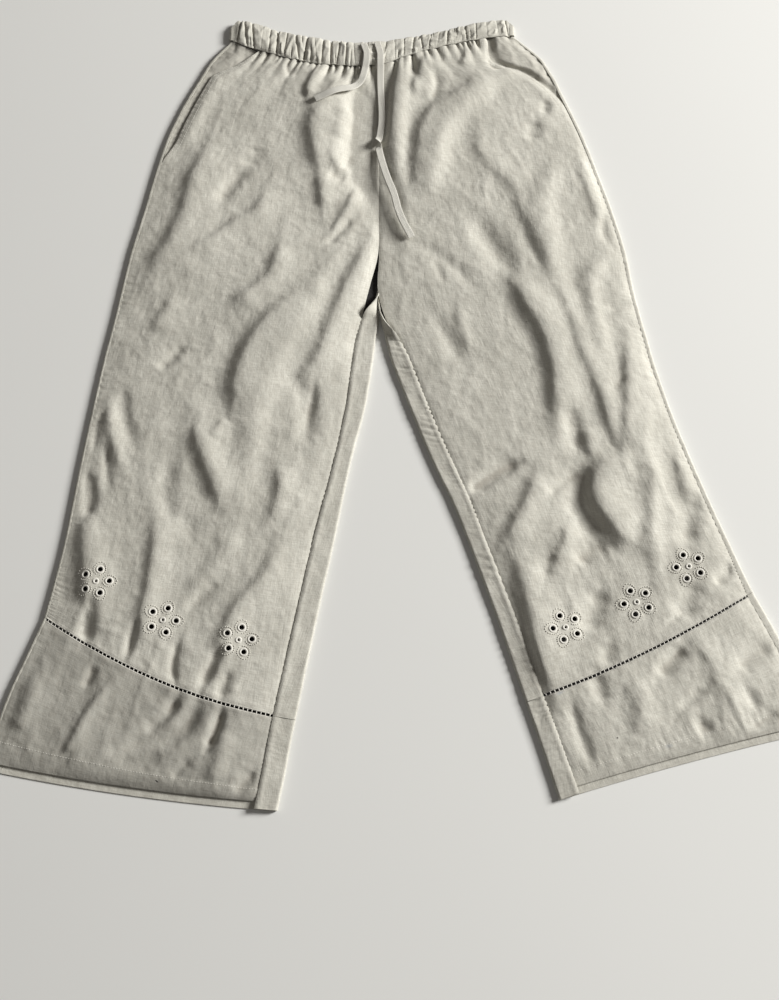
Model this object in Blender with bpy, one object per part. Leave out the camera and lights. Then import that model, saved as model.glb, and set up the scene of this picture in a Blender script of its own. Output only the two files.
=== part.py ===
"""Cropped wide-leg trousers with a gathered drawstring waist, laid flat with the front up.

All tables are in millimetres from the front fork, x to the wearer's left, y to the waist, z up from the floor.
"""

import math

import bpy
import numpy as np
from mathutils import Vector
from mathutils.bvhtree import BVHTree

# Cloth and seams
WALL = 1.2  # one layer of cloth, with its seam allowance
BAND_WALL = 2.0  # folded casing with the elastic inside
SEAM_GAP = 0.4  # between two pieces along a seam
BACK_MID = 0.6  # middle of the back cloth, which lies on the floor
SIDE_MID = 4.0  # middle of the cloth at the side and inside seams
CENTRE_MID = 3.2  # middle of the cloth along the centre front seam
WAIST_MID = 6.2  # middle of the cloth under the casing
LOFT_MID = 8.0  # middle of the loose front cloth between folds
LEAST_MID = 2.3  # where a valley touches the back
LOFT_REACH = 15.0  # how fast the front rises from its seams
SEAM_HOLD = 9.0  # a fold dies out this close to a seam
FOLD_LIFT = 1.3
BACK_HEM_DROP = 8.0  # the back hem shows this far below the front hem
POCKET_END = 120.0  # above this the facing meets the side seam
POCKET_SEAM = 4.6  # from the outline to the side seam beside a pocket
POCKET_MID = 2.3  # middle of the facing under the mouth
POCKET_UNDER = 9.0  # how far the facing goes on under the front

# Middle of the outline, moved to the origin
CENTRE_X, CENTRE_Y = 28.34, -152.73

# Eyelets
EYELET_HOLE = 2.35
PETAL_RING = 13.4
PETALS = 5

# Sections of a leg, waist to hem: outer edge (ox, oy), inner edge (ix, iy), sag of the line between them,
# how far the front stops short of each edge, the back's turn-over at the inner edge, its curl and the splits after it
LEG_COLUMNS = ("ox", "oy", "ix", "iy", "sag", "front_o", "front_i", "turn", "curl", "splits")
RIGHT_LEG = (
    (-177.0, 287.0, -0.2, 252.0, -12.0, 34.0, 0.0, 3.0, 0.0, 1),
    (-198.0, 262.0, -0.2, 232.0, -8.0, 30.0, 0.0, 3.0, 0.0, 1),
    (-211.5, 236.0, -0.2, 208.0, -5.0, 12.0, 0.0, 3.0, 0.0, 2),
    (-230.0, 197.0, -0.2, 172.0, -3.0, 13.0, 0.0, 3.0, 0.0, 2),
    (-246.4, 153.0, -0.2, 130.0, 0.0, 13.0, 0.0, 3.0, 0.0, 2),
    (-256.5, 113.0, -0.2, 94.0, 0.0, 5.0, 0.0, 3.0, 0.0, 2),
    (-268.0, 57.0, -0.2, 44.0, 0.0, 5.0, 0.0, 3.0, 0.0, 2),
    (-280.0, 3.0, -0.2, 0.0, 0.0, 5.0, 1.0, 3.0, 0.0, 2),
    (-287.0, -40.0, -0.2, -36.0, 0.0, 4.6, 10.0, 3.0, 0.0, 2),
    (-294.3, -86.7, -0.6, -80.0, 0.0, 4.4, 20.0, 3.0, 0.0, 2),
    (-299.0, -113.0, -4.0, -105.0, 0.0, 4.2, 21.5, 12.0, 1.0, 1),
    (-303.0, -137.0, -6.5, -128.0, 0.0, 4.0, 22.0, 21.6, 1.0, 2),
    (-311.4, -195.4, -15.0, -187.0, 0.0, 4.0, 20.5, 20.1, 1.0, 3),
    (-320.0, -260.0, -31.0, -256.0, 0.0, 4.0, 18.0, 17.6, 1.0, 3),
    (-329.0, -337.0, -46.5, -340.0, 0.0, 3.8, 22.0, 21.6, 1.0, 3),
    (-337.0, -385.0, -62.0, -417.0, -8.0, 3.6, 22.0, 21.6, 1.0, 2),
    (-344.5, -424.0, -83.5, -531.0, -18.0, 3.6, 22.5, 22.1, 1.0, 0),
)
RIGHT_BAND = (
    (-344.5, -424.0, -83.5, -531.0, -18.0, 3.6, 22.5, 22.1, 1.0, 2),
    (-361.0, -468.0, -88.0, -556.0, -14.0, 3.6, 22.5, 22.1, 1.0, 2),
    (-376.3, -510.0, -92.0, -582.0, -10.0, 3.6, 22.5, 22.1, 1.0, 2),
    (-393.0, -572.5, -98.0, -613.5, -5.0, 3.6, 22.5, 22.1, 1.0, 0),
)
LEFT_LEG = (
    (160.0, 294.0, 0.2, 252.0, 7.0, 32.0, 0.0, 3.0, 0.0, 1),
    (190.0, 265.0, 0.2, 238.0, 3.0, 56.0, 0.0, 3.0, 0.0, 1),
    (199.0, 250.0, 0.2, 226.0, 2.0, 34.0, 0.0, 3.0, 0.0, 1),
    (207.0, 234.0, 0.2, 211.0, 0.0, 21.0, 0.0, 3.0, 0.0, 1),
    (215.0, 213.0, 0.2, 192.0, 0.0, 9.0, 0.0, 3.0, 0.0, 1),
    (224.0, 190.0, 0.2, 170.0, 0.0, 4.6, 0.0, 3.0, 0.0, 2),
    (237.5, 153.0, 0.2, 134.0, 0.0, 4.6, 0.0, 3.0, 0.0, 2),
    (252.0, 105.0, 0.2, 92.0, 0.0, 4.2, 0.0, 3.0, 0.0, 2),
    (266.0, 55.0, 0.2, 45.0, 0.0, 4.2, 0.0, 3.0, 0.0, 2),
    (277.5, 5.0, 0.2, 0.0, 0.0, 4.2, 0.0, 3.0, 0.0, 2),
    (284.0, -42.0, 0.2, -38.0, 0.0, 4.2, -1.6, 3.0, 0.0, 2),
    (291.5, -83.0, 0.8, -80.0, 0.0, 4.2, 11.0, 3.0, 0.0, 2),
    (297.5, -112.0, 9.0, -110.0, 0.0, 4.2, 17.0, 12.0, 1.0, 1),
    (303.4, -140.0, 17.0, -139.0, 0.0, 4.2, 20.5, 20.1, 1.0, 2),
    (318.0, -195.4, 37.5, -196.0, 0.0, 4.2, 20.5, 20.1, 1.0, 2),
    (334.8, -248.0, 58.5, -251.0, 0.0, 4.6, 21.0, 20.6, 1.0, 3),
    (352.5, -299.4, 80.0, -300.0, 0.0, 5.0, 19.5, 19.1, 1.0, 2),
    (371.0, -350.0, 99.5, -354.0, 0.0, 5.2, 18.5, 18.1, 1.0, 3),
    (380.0, -374.0, 125.0, -430.0, -5.0, 6.6, 18.5, 18.1, 1.0, 2),
    (389.0, -397.0, 150.5, -513.0, -9.0, 8.0, 18.0, 17.6, 1.0, 0),
)
LEFT_BAND = (
    (389.0, -397.0, 150.5, -513.0, -9.0, 8.0, 18.0, 17.6, 1.0, 2),
    (410.0, -442.0, 159.5, -541.0, -5.0, 8.4, 18.6, 18.2, 1.0, 2),
    (431.0, -492.0, 169.0, -572.0, -1.0, 8.8, 19.3, 18.9, 1.0, 2),
    (448.5, -532.0, 178.0, -603.0, 3.0, 9.2, 20.0, 19.6, 1.0, 0),
)

# Casing: x, lower edge is the waist section, upper edge y
CASING_TOP = (
    (-178.0, 304.0), (-169.0, 315.0), (-147.0, 310.5), (-119.0, 300.0), (-73.0, 289.0), (-23.0, 282.5),
    (20.0, 288.0), (76.0, 300.0), (125.0, 312.0), (150.0, 316.0), (161.0, 307.0),
)
CASING_RISE, CASING_FALL = 2.2, 2.0  # gathers above and below the middle
GATHERS = (
    -168.0, -160.0, -151.0, -140.0, -131.0, -122.0, -112.0, -98.0, -88.0, -76.0, -68.0, -58.0, -49.0, -40.0,
    -30.0, -20.0, -8.0, 7.0, 18.0, 29.0, 40.0, 50.0, 60.0, 70.0, 81.0, 92.0, 103.0, 115.0, 128.0, 141.0, 152.0,
)

# Folds on the front cloth: height, width to each side of the line, then points along the line
FOLD_COLUMNS = ("height", "width_a", "width_b", "line")
RIGHT_FOLDS = (
    (-1.8, 6, 6, ((-108, 258), (-109, 243), (-97, 238), (-76, 246))),
    (-2.6, 5, 5, ((-72, 257), (-84, 230), (-86, 210), (-79, 198))),
    (3.0, 10, 10, ((-58, 236), (-74, 206))),
    (-3.0, 7, 6, ((-47, 238), (-62, 215), (-79, 198))),
    (-3.2, 9, 8, ((-68, 194), (-82, 165), (-76, 132), (-67, 105), (-67, 55))),
    (3.2, 15, 12, ((-31, 205), (-46, 178), (-62, 146))),
    (-3.4, 9, 9, ((-23, 226), (-16, 190), (-14, 150), (-7, 112), (-5, 80))),
    (-2.6, 8, 8, ((-52, 136), (-56, 112), (-45, 100))),
    (1.8, 6, 6, ((-21, 100), (-18, 62))),
    (-2.2, 5, 5, ((-25, 88), (-38, 55), (-58, 14))),
    (-3.6, 9, 10, ((-9, 26), (-34, -44), (-58, -106), (-90, -166))),
    (2.4, 7, 7, ((-8, -6), (-22, -46), (-36, -104), (-44, -160), (-50, -210))),
    (3.0, 16, 16, ((-50, 15), (-76, -36), (-102, -82), (-134, -150), (-146, -205), (-150, -320))),
    (-4.0, 9, 10, ((-95, -58), (-126, -86), (-148, -124), (-156, -162), (-157, -202))),
    (-2.0, 12, 12, ((-108, 12), (-118, -20), (-145, -50), (-168, -66))),
    (-3.0, 9, 10, ((-200, -208), (-192, -242), (-178, -282), (-164, -312))),
    (-2.0, 8, 8, ((-154, -206), (-172, -228))),
    (-2.2, 9, 9, ((-196, 142), (-214, 110), (-221, 58), (-238, 8))),
    (-1.8, 9, 9, ((-124, 60), (-160, 38), (-200, 10), (-226, -6))),
    (1.4, 11, 11, ((-150, 140), (-176, 90), (-206, 40))),
    (-1.4, 10, 10, ((-228, -60), (-248, -110))),
    (-3.0, 6, 10, ((-306, -304), (-311, -330), (-308, -382), (-299, -424), (-298, -446))),
    (-2.5, 8, 8, ((-234, -350), (-238, -392), (-246, -432), (-254, -468))),
    (-2.2, 10, 9, ((-110, -332), (-114, -362), (-132, -402), (-152, -444), (-176, -494))),
    (1.6, 11, 11, ((-288, -330), (-282, -376), (-280, -430))),
    (1.4, 10, 10, ((-160, -344), (-190, -402))),
    (-2.0, 7, 7, ((-276, -494), (-292, -522), (-312, -552), (-334, -578))),
    (-2.0, 6, 6, ((-204, -506), (-213, -526), (-236, -540))),
    (-2.6, 8, 8, ((-182, -516), (-192, -536), (-222, -549), (-268, -566))),
    (-2.0, 6, 6, ((-158, -524), (-169, -556))),
)
LEFT_FOLDS = (
    (-3.4, 7, 7, ((13, 256), (13, 205), (10, 150))),
    (3.0, 9, 9, ((32, 252), (25, 204), (21, 150), (22, 112), (26, 78))),
    (-3.0, 6, 6, ((53, 270), (43, 236), (38, 204))),
    (-3.2, 10, 10, ((116, 242), (95, 215), (70, 200), (53, 176), (48, 140), (42, 102), (31, 68))),
    (3.4, 12, 12, ((148, 236), (112, 216), (86, 186), (69, 150), (61, 112), (58, 80))),
    (-2.2, 7, 7, ((106, 280), (99, 260))),
    (-2.2, 9, 9, ((114, 176), (120, 140), (136, 104), (152, 72), (160, 45), (170, 12), (181, -22))),
    (-4.0, 9, 9, ((120, 44), (126, 10), (140, -16), (151, -46), (169, -76), (181, -106), (189, -150), (190, -206))),
    (2.8, 9, 9, ((196, 62), (190, 10), (199, -30), (214, -70), (238, -120), (250, -156))),
    (1.8, 14, 14, ((208, 152), (184, 104), (182, 62))),
    (-1.6, 9, 9, ((180, 172), (175, 146))),
    (-2.4, 9, 9, ((229, 132), (235, 96), (243, 60), (249, 36))),
    (-2.4, 7, 7, ((204, -58), (215, -100), (226, -136), (240, -176), (249, -216))),
    (2.2, 8, 8, ((199, -96), (206, -140), (222, -182), (240, -234))),
    (-4.2, 8, 9, ((264, -222), (258, -247), (232, -255), (220, -276), (228, -302), (241, -326), (262, -343))),
    (3.6, 11, 11, ((283, -110), (280, -170), (278, -222), (264, -262))),
    (2.4, 9, 9, ((243, -274), (250, -304), (274, -330), (289, -362), (290, -422))),
    (-1.8, 8, 8, ((214, -222), (222, -250))),
    (-2.2, 7, 7, ((100, -282), (126, -265), (150, -250), (180, -236))),
    (-2.8, 8, 8, ((165, -264), (150, -310), (130, -346))),
    (-4.0, 8, 8, ((144, -352), (148, -390), (155, -430), (160, -470), (166, -504))),
    (-1.8, 7, 7, ((201, -318), (190, -346), (180, -376))),
    (-2.2, 10, 10, ((210, -366), (228, -352), (258, -350))),
    (-2.0, 10, 10, ((330, -296), (334, -314), (325, -344))),
    (-2.0, 9, 9, ((372, -372), (352, -390))),
    (-2.2, 7, 7, ((318, -448), (340, -480), (345, -520), (348, -560))),
    (-2.4, 9, 9, ((311, -454), (290, -480))),
    (-2.0, 9, 9, ((380, -463), (402, -451))),
    (-1.8, 8, 8, ((200, -510), (205, -540), (212, -570))),
)

# Flower centres on each leg, with the turn of the first petal in degrees
RIGHT_FLOWERS = ((-292.2, -387.4, 75.0), (-221.0, -428.7, 70.0), (-142.4, -449.9, 78.0))
LEFT_FLOWERS = ((192.4, -436.2, 115.0), (266.9, -409.0, 117.0), (323.4, -370.5, 113.0))

# Drawstring ends: width, thickness, step and points along the tape
TAPE_WIDTH, TAPE_THICK, TAPE_STEP = 7.0, 1.2, 7.0
RIGHT_TIE = ((-19, 279), (-15, 264), (-17, 246), (-22, 228), (-32, 218), (-47, 212), (-60, 206), (-75, 199))
LEFT_TIE = (
    (-3, 281), (1, 262), (1, 235), (2, 205), (3, 178), (1, 158), (-1, 144), (2, 124), (9, 97), (17, 74),
    (22, 53), (29, 34), (37, 18),
)


def smooth(value):
    """Return a soft step from 0 to 1."""
    value = np.clip(value, 0.0, 1.0)
    return value * value * (3.0 - 2.0 * value)


def through(knots, values, at):
    """Interpolate a row of values smoothly, with no overshoot past a flat stretch."""
    knots, values, at = (np.asarray(v, float) for v in (knots, values, at))
    step = np.diff(knots)
    slope = np.diff(values) / step
    tangent = np.concatenate([[slope[0]], (slope[1:] + slope[:-1]) / 2.0, [slope[-1]]])
    flat = np.concatenate([[False], slope[1:] * slope[:-1] <= 0.0, [False]])
    tangent[flat] = 0.0
    place = np.clip(np.searchsorted(knots, at, side="right") - 1, 0, len(step) - 1)
    part = (at - knots[place]) / step[place]
    a, b = values[place], values[place + 1]
    ta, tb = tangent[place] * step[place], tangent[place + 1] * step[place]
    square, cube = part**2, part**3
    return a * (2 * cube - 3 * square + 1) + ta * (cube - 2 * square + part) + b * (3 * square - 2 * cube) + tb * (cube - square)


class Leg:
    """The rows of one leg or hem band, read from its sections."""

    def __init__(self, sections, trim_start=0.0, trim_end=0.0, extra=0.0):
        table = {name: [row[i] for row in sections] for i, name in enumerate(LEG_COLUMNS)}
        last = len(sections) - 1
        at = [0.0]
        for i, splits in enumerate(table["splits"][:last]):
            at += [i + (k + 1) / splits for k in range(int(splits))]
        at = np.array(at)
        at[0] += trim_start
        at[-1] -= trim_end
        knots = np.arange(last + 1)
        self.rows = {name: through(knots, table[name], at) for name in LEG_COLUMNS[:-1]}
        self.rows["curl"] = np.interp(at, knots, table["curl"])
        for end in ("o", "i") if extra else ():
            x, y = self.rows[end + "x"], self.rows[end + "y"]
            way = np.array([x[-1] - x[-2], y[-1] - y[-2]])
            way *= extra / np.linalg.norm(way)
            x[-1] += way[0]
            y[-1] += way[1]
        self.side = np.sign(self.rows["ix"][0] - self.rows["ox"][0])

    def line(self, x):
        """Return y on each row at the given x."""
        r = self.rows
        share = (x - r["ox"][:, None]) / (r["ix"] - r["ox"])[:, None]
        rise = r["oy"][:, None] + (r["iy"] - r["oy"])[:, None] * share
        return rise + 4.0 * r["sag"][:, None] * share * (1.0 - share)

    def front_grid(self, columns, edge_o=None, edge_i=None):
        """Return x and y over the front cloth, outer edge first."""
        r = self.rows
        start = r["ox"] + self.side * (r["front_o"] if edge_o is None else edge_o)
        end = r["ix"] - self.side * (r["front_i"] if edge_i is None else edge_i)
        share = np.linspace(0.0, 1.0, columns)[None, :]
        x = start[:, None] * (1.0 - share) + end[:, None] * share
        return x, self.line(x)


def fold_height(x, y, folds):
    """Sum the folds at each point: a soft ridge or trough along each line, thinner towards its ends."""
    total = np.zeros_like(x)
    for height, width_a, width_b, line in folds:
        line = np.array(line, float)
        lengths = np.hypot(*np.diff(line, axis=0).T)
        run = np.concatenate([[0.0], np.cumsum(lengths)])
        best = np.full(x.shape, 1e9)
        reach, side = np.zeros_like(x), np.zeros_like(x)
        for a, b, start, length in zip(line[:-1], line[1:], run[:-1], lengths):
            along = (b - a) / length
            u = (x - a[0]) * along[0] + (y - a[1]) * along[1]
            inside = np.clip(u, 0.0, length)
            dx, dy = x - a[0] - inside * along[0], y - a[1] - inside * along[1]
            away = np.hypot(dx, dy)
            near = away < best
            best = np.where(near, away, best)
            reach = np.where(near, (start + inside) / run[-1], reach)
            side = np.where(near, along[0] * dy - along[1] * dx, side)
        taper = 0.35 + 0.65 * smooth(reach / 0.22) * smooth((1.0 - reach) / 0.22)
        width = np.where(side > 0.0, width_a, width_b) * (0.7 + 0.3 * taper)
        total += FOLD_LIFT * height * taper * np.exp(-((best / width) ** 2))
    return total


def front_mid(x, y, outer, inner, folds, inner_mid):
    """Return the middle of the front cloth, from the distance to its two seams and its folds."""
    gap_o, gap_i = np.abs(x - outer), np.abs(inner - x)
    rise_o = SIDE_MID + (LOFT_MID - SIDE_MID) * (1.0 - np.exp(-gap_o / LOFT_REACH))
    rise_i = inner_mid + (LOFT_MID - inner_mid) * (1.0 - np.exp(-gap_i / LOFT_REACH))
    hold = smooth(gap_o / SEAM_HOLD) * smooth(gap_i / SEAM_HOLD)
    mid = rise_o + rise_i - LOFT_MID + hold * fold_height(x, y, folds)
    soft = 0.5
    return LEAST_MID + soft * np.logaddexp(0.0, (mid - LEAST_MID) / soft)


def turned_section(width, drop_o, drop_i, curl, counts):
    """Return (across, up) along the back cloth: over the side fold, flat on the floor, and up round the inner edge."""
    radius = (SIDE_MID - BACK_MID) / 2.0
    flat_end = width - (curl * radius + (1.0 - curl) * drop_i)
    across = [drop_o, radius + 0.02]
    up = [SIDE_MID, SIDE_MID]
    for k in range(1, counts["arc"] + 1):
        angle = math.pi * k / counts["arc"]
        across.append(radius - radius * math.sin(angle))
        up.append(BACK_MID + radius + radius * math.cos(angle))
    for k in range(1, counts["flat"] + 1):
        across.append(radius + (flat_end - radius) * k / counts["flat"])
        up.append(BACK_MID)
    heading, arc = 0.0, curl * math.pi * radius
    for k in range(counts["arc"]):
        step = math.pi * curl / counts["arc"]
        length = arc / counts["arc"] + (1.0 - curl) * drop_i / (counts["arc"] + counts["turn"])
        heading += step / 2.0
        across.append(across[-1] + length * math.cos(heading))
        up.append(up[-1] + length * math.sin(heading))
        heading += step / 2.0
    rest = curl * max(drop_i - radius, 0.5) + (1.0 - curl) * drop_i * counts["turn"] / (counts["arc"] + counts["turn"])
    for _ in range(counts["turn"]):
        across.append(across[-1] + rest / counts["turn"] * math.cos(heading))
        up.append(up[-1] + rest / counts["turn"] * math.sin(heading))
    return np.array(across), np.array(up)


def normals_of(points):
    """Return unit normals over a grid of points."""
    along = np.gradient(points, axis=0)
    across = np.gradient(points, axis=1)
    normal = np.cross(across, along)
    return normal / np.linalg.norm(normal, axis=2, keepdims=True)


def shell(name, points, wall, colour, roughness=0.9):
    """Build one closed piece of cloth from a grid of points on its middle surface."""
    half = 0.5 * wall * normals_of(points)
    rows, columns = points.shape[:2]
    layers = np.concatenate([(points + half).reshape(-1, 3), (points - half).reshape(-1, 3)])
    layers -= (CENTRE_X, CENTRE_Y, 0.0)
    under = rows * columns
    index = np.arange(under).reshape(rows, columns)
    a, b, c, d = (part.reshape(-1) for part in (index[:-1, :-1], index[1:, :-1], index[1:, 1:], index[:-1, 1:]))
    # both sides of the wall are split along the same, shorter diagonal, so the wall keeps its thickness
    middle = points.reshape(-1, 3)
    first = np.linalg.norm(middle[a] - middle[c], axis=1) <= np.linalg.norm(middle[b] - middle[d], axis=1)
    one = np.where(first[:, None], np.stack([a, b, c], axis=-1), np.stack([a, b, d], axis=-1))
    two = np.where(first[:, None], np.stack([a, c, d], axis=-1), np.stack([b, c, d], axis=-1))
    top = np.concatenate([one, two])
    rim = np.concatenate([index[0, :-1], index[:-1, -1], index[-1, :0:-1], index[:0:-1, 0]])
    following = np.roll(rim, -1)
    edge = [np.stack([rim, following, following + under], axis=-1), np.stack([rim, following + under, rim + under], axis=-1)]
    faces = np.concatenate([top, top[:, ::-1] + under, *edge])
    corners = layers[faces]
    crossed = np.cross(corners[:, 1] - corners[:, 0], corners[:, 2] - corners[:, 0])
    if (corners.mean(axis=1) * crossed).sum() < 0.0:
        faces = faces[:, ::-1]
    mesh = bpy.data.meshes.new(name)
    mesh.from_pydata((layers / 1000.0).tolist(), [], faces.tolist())
    mesh.update()
    piece = bpy.data.objects.new(name, mesh)
    bpy.context.scene.collection.objects.link(piece)
    dress(piece, colour, roughness)
    return piece


def dress(piece, colour, roughness):
    """Give a piece its own plain cloth material."""
    material = bpy.data.materials.new(f"{piece.name}_cloth")
    material.use_nodes = True
    shader = material.node_tree.nodes["Principled BSDF"]
    shader.inputs["Base Color"].default_value = (*colour, 1.0)
    shader.inputs["Roughness"].default_value = roughness
    piece.data.materials.append(material)


def grid3(x, y, z):
    """Stack three arrays into a grid of points."""
    return np.stack([x, y, z], axis=-1)


def cut_eyelets(piece, flowers):
    """Cut the round petal holes of each flower through one layer of cloth."""
    points, faces = [], []
    sides = 10
    for fx, fy, turn in flowers:
        for petal in range(PETALS):
            aim = math.radians(turn + 360.0 / PETALS * petal)
            cx = fx + PETAL_RING * math.cos(aim) - CENTRE_X
            cy = fy + PETAL_RING * math.sin(aim) - CENTRE_Y
            first = len(points)
            for z in (-3.0, 25.0):
                for k in range(sides):
                    angle = 2.0 * math.pi * (k + 0.5) / sides
                    points.append((cx + EYELET_HOLE * math.cos(angle), cy + EYELET_HOLE * math.sin(angle), z))
            low = [first + k for k in range(sides)]
            high = [first + sides + k for k in range(sides)]
            faces += [low[::-1], high]
            faces += [[low[k], low[(k + 1) % sides], high[(k + 1) % sides], high[k]] for k in range(sides)]
    mesh = bpy.data.meshes.new(f"{piece.name}_holes")
    mesh.from_pydata([(x / 1000.0, y / 1000.0, z / 1000.0) for x, y, z in points], [], faces)
    mesh.update()
    cutter = bpy.data.objects.new(f"{piece.name}_holes", mesh)
    bpy.context.scene.collection.objects.link(cutter)
    cutter.hide_render = True
    cutter.display_type = "WIRE"
    cut = piece.modifiers.new("eyelets", "BOOLEAN")
    cut.operation = "DIFFERENCE"
    cut.solver = "EXACT"
    cut.object = cutter


def inner_mids(y):
    """Return how high the front cloth lies along its inner edge."""
    return CENTRE_MID + (4.6 - CENTRE_MID) * smooth((60.0 - y) / 90.0) - 0.6 * smooth((-90.0 - y) / 60.0)


def front_piece(name, sections, folds, columns, colour, trims, waist=False):
    """Build the front cloth of a leg or a hem band."""
    leg = Leg(sections, *trims)
    x, y = leg.front_grid(columns)
    z = front_mid(x, y, x[:, :1], x[:, -1:], folds, inner_mids(y))
    if waist:
        near = np.exp(-np.maximum(leg.line(x)[0][None, :] - y, 0.0) / 10.0)
        z = z + (WAIST_MID - z) * near
    return shell(name, grid3(x, y, z), WALL, colour)


def back_piece(name, sections, colour, trims, counts, drop=0.0):
    """Build the back cloth, which turns over the side and the inner edge on to the front."""
    leg = Leg(sections, *trims, extra=drop)
    r = leg.rows
    points = []
    for i in range(len(r["ox"])):
        pocket = r["oy"][i] > POCKET_END
        drop_o = (POCKET_SEAM if pocket else r["front_o"][i]) - SEAM_GAP
        width = abs(r["ix"][i] - r["ox"][i])
        across, up = turned_section(width, drop_o, r["turn"][i], float(r["curl"][i]), counts)
        x = r["ox"][i] + leg.side * across
        share = (x - r["ox"][i]) / (r["ix"][i] - r["ox"][i])
        y = r["oy"][i] + (r["iy"][i] - r["oy"][i]) * share + 4.0 * r["sag"][i] * share * (1.0 - share)
        points.append(np.stack([x, y, up], axis=-1))
    return shell(name, np.array(points), WALL, colour)


def pocket_piece(name, sections, colour):
    """Build the facing that shows inside the pocket mouth and goes on under the front cloth."""
    leg = Leg(sections, 0.02, 0.0)
    side_o = np.full(len(leg.rows["ox"]), POCKET_SEAM)
    reach = leg.rows["front_o"] + POCKET_UNDER
    x, y = leg.front_grid(8, edge_o=side_o, edge_i=np.abs(leg.rows["ix"] - leg.rows["ox"]) - reach)
    mouth = leg.rows["ox"] + leg.side * leg.rows["front_o"]
    outside = (mouth[:, None] - x) * leg.side
    z = POCKET_MID + (SIDE_MID - POCKET_MID) * smooth((outside - 1.0) / 12.0)
    return shell(name, grid3(x, y, z), 1.0, colour)


def waist_line(x):
    """Return y of the seam under the casing."""
    right, left = RIGHT_LEG[0], LEFT_LEG[0]
    result = np.zeros_like(x)
    for row, here in ((right, x <= 0.0), (left, x > 0.0)):
        share = (x - row[0]) / (row[2] - row[0])
        y = row[1] + (row[3] - row[1]) * share + 4.0 * row[4] * share * (1.0 - share)
        result = np.where(here, y, result)
    return result


def gather_wave(x):
    """Return -1 in each crease of the casing and up to 1 on the roll between two creases."""
    creases = np.array(GATHERS)
    place = np.clip(np.searchsorted(creases, x), 1, len(creases) - 1)
    low, high = creases[place - 1], creases[place]
    part = np.clip((x - low) / (high - low), 0.0, 1.0)
    height = np.clip((high - low) / 11.0, 0.6, 1.1)
    return -1.0 + (1.0 + height) * np.sin(np.pi * part) ** 0.9


def casing_columns():
    """Return x across the casing: two ends, each crease and two places on each roll."""
    creases = list(GATHERS)
    x = [-174.0, -171.0]
    for low, high in zip(creases[:-1], creases[1:]):
        x += [low, low + 0.33 * (high - low), low + 0.67 * (high - low)]
    return np.array(x + [creases[-1], 155.5])


def casing_front(colour):
    """Build the gathered front of the casing."""
    x = casing_columns()
    top = through([p[0] for p in CASING_TOP], [p[1] for p in CASING_TOP], x)
    low = waist_line(x) + SEAM_GAP + 0.4
    share = np.array([0.0, 0.35, 0.7, 1.0])[:, None]
    y = top[None, :] * (1.0 - share) + low[None, :] * share
    ends = smooth((x + 174.0) / 8.0) * smooth((155.5 - x) / 8.0)
    wave = gather_wave(x)
    rise = np.where(wave > 0.0, CASING_RISE, CASING_FALL) * wave
    z = 4.9 + (1.5 + rise[None, :] * (0.75 + 0.25 * np.sin(np.pi * share))) * ends[None, :]
    spread = x[None, :] + 0.0 * y
    return shell("waistband_front", grid3(spread, y, z), BAND_WALL, colour)


def casing_back(colour):
    """Build the back of the casing, which turns over at both sides."""
    radius = (4.9 - 1.0) / 2.0
    left_x, right_x = -178.6, 160.4
    across = [left_x + 4.2, left_x + radius]
    up = [4.9, 4.9]
    for k in range(1, 5):
        angle = math.pi * k / 4
        across.append(left_x + radius - radius * math.sin(angle))
        up.append(1.0 + radius + radius * math.cos(angle))
    across += list(np.linspace(left_x + radius, right_x - radius, 18)[1:])
    up += [1.0] * 17
    for k in range(1, 5):
        angle = math.pi * k / 4
        across.append(right_x - radius + radius * math.sin(angle))
        up.append(1.0 + radius - radius * math.cos(angle))
    across.append(right_x - 4.4)
    up.append(4.9)
    across, up = np.array(across), np.array(up)
    top = through([p[0] for p in CASING_TOP], [p[1] for p in CASING_TOP], np.clip(across, -178.0, 161.0)) + 0.6
    low = waist_line(np.clip(across, -177.0, 160.0)) + SEAM_GAP + 0.4
    share = np.array([0.0, 0.5, 1.0])[:, None]
    y = top[None, :] * (1.0 - share) + low[None, :] * share
    return shell("waistband_back", grid3(across + 0.0 * y, y, up + 0.0 * y), BAND_WALL, colour)


def tape_path(points, step):
    """Return evenly spaced points along a smooth line."""
    points = np.array(points, float)
    run = np.concatenate([[0.0], np.cumsum(np.hypot(*np.diff(points, axis=0).T))])
    at = np.linspace(0.0, run[-1], max(int(run[-1] / step), 4) + 1)
    return np.stack([through(run, points[:, 0], at), through(run, points[:, 1], at)], axis=-1)


def cloth_top(trees, x, y):
    """Return the highest cloth under each point, from the pieces already built."""
    tops = []
    for px, py in zip(np.ravel(x), np.ravel(y)):
        start = Vector(((px - CENTRE_X) / 1000.0, (py - CENTRE_Y) / 1000.0, 0.1))
        hits = [tree.ray_cast(start, Vector((0.0, 0.0, -1.0)))[0] for tree in trees]
        tops.append(max([hit.z * 1000.0 for hit in hits if hit is not None], default=SIDE_MID))
    return np.array(tops).reshape(np.shape(x))


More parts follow.
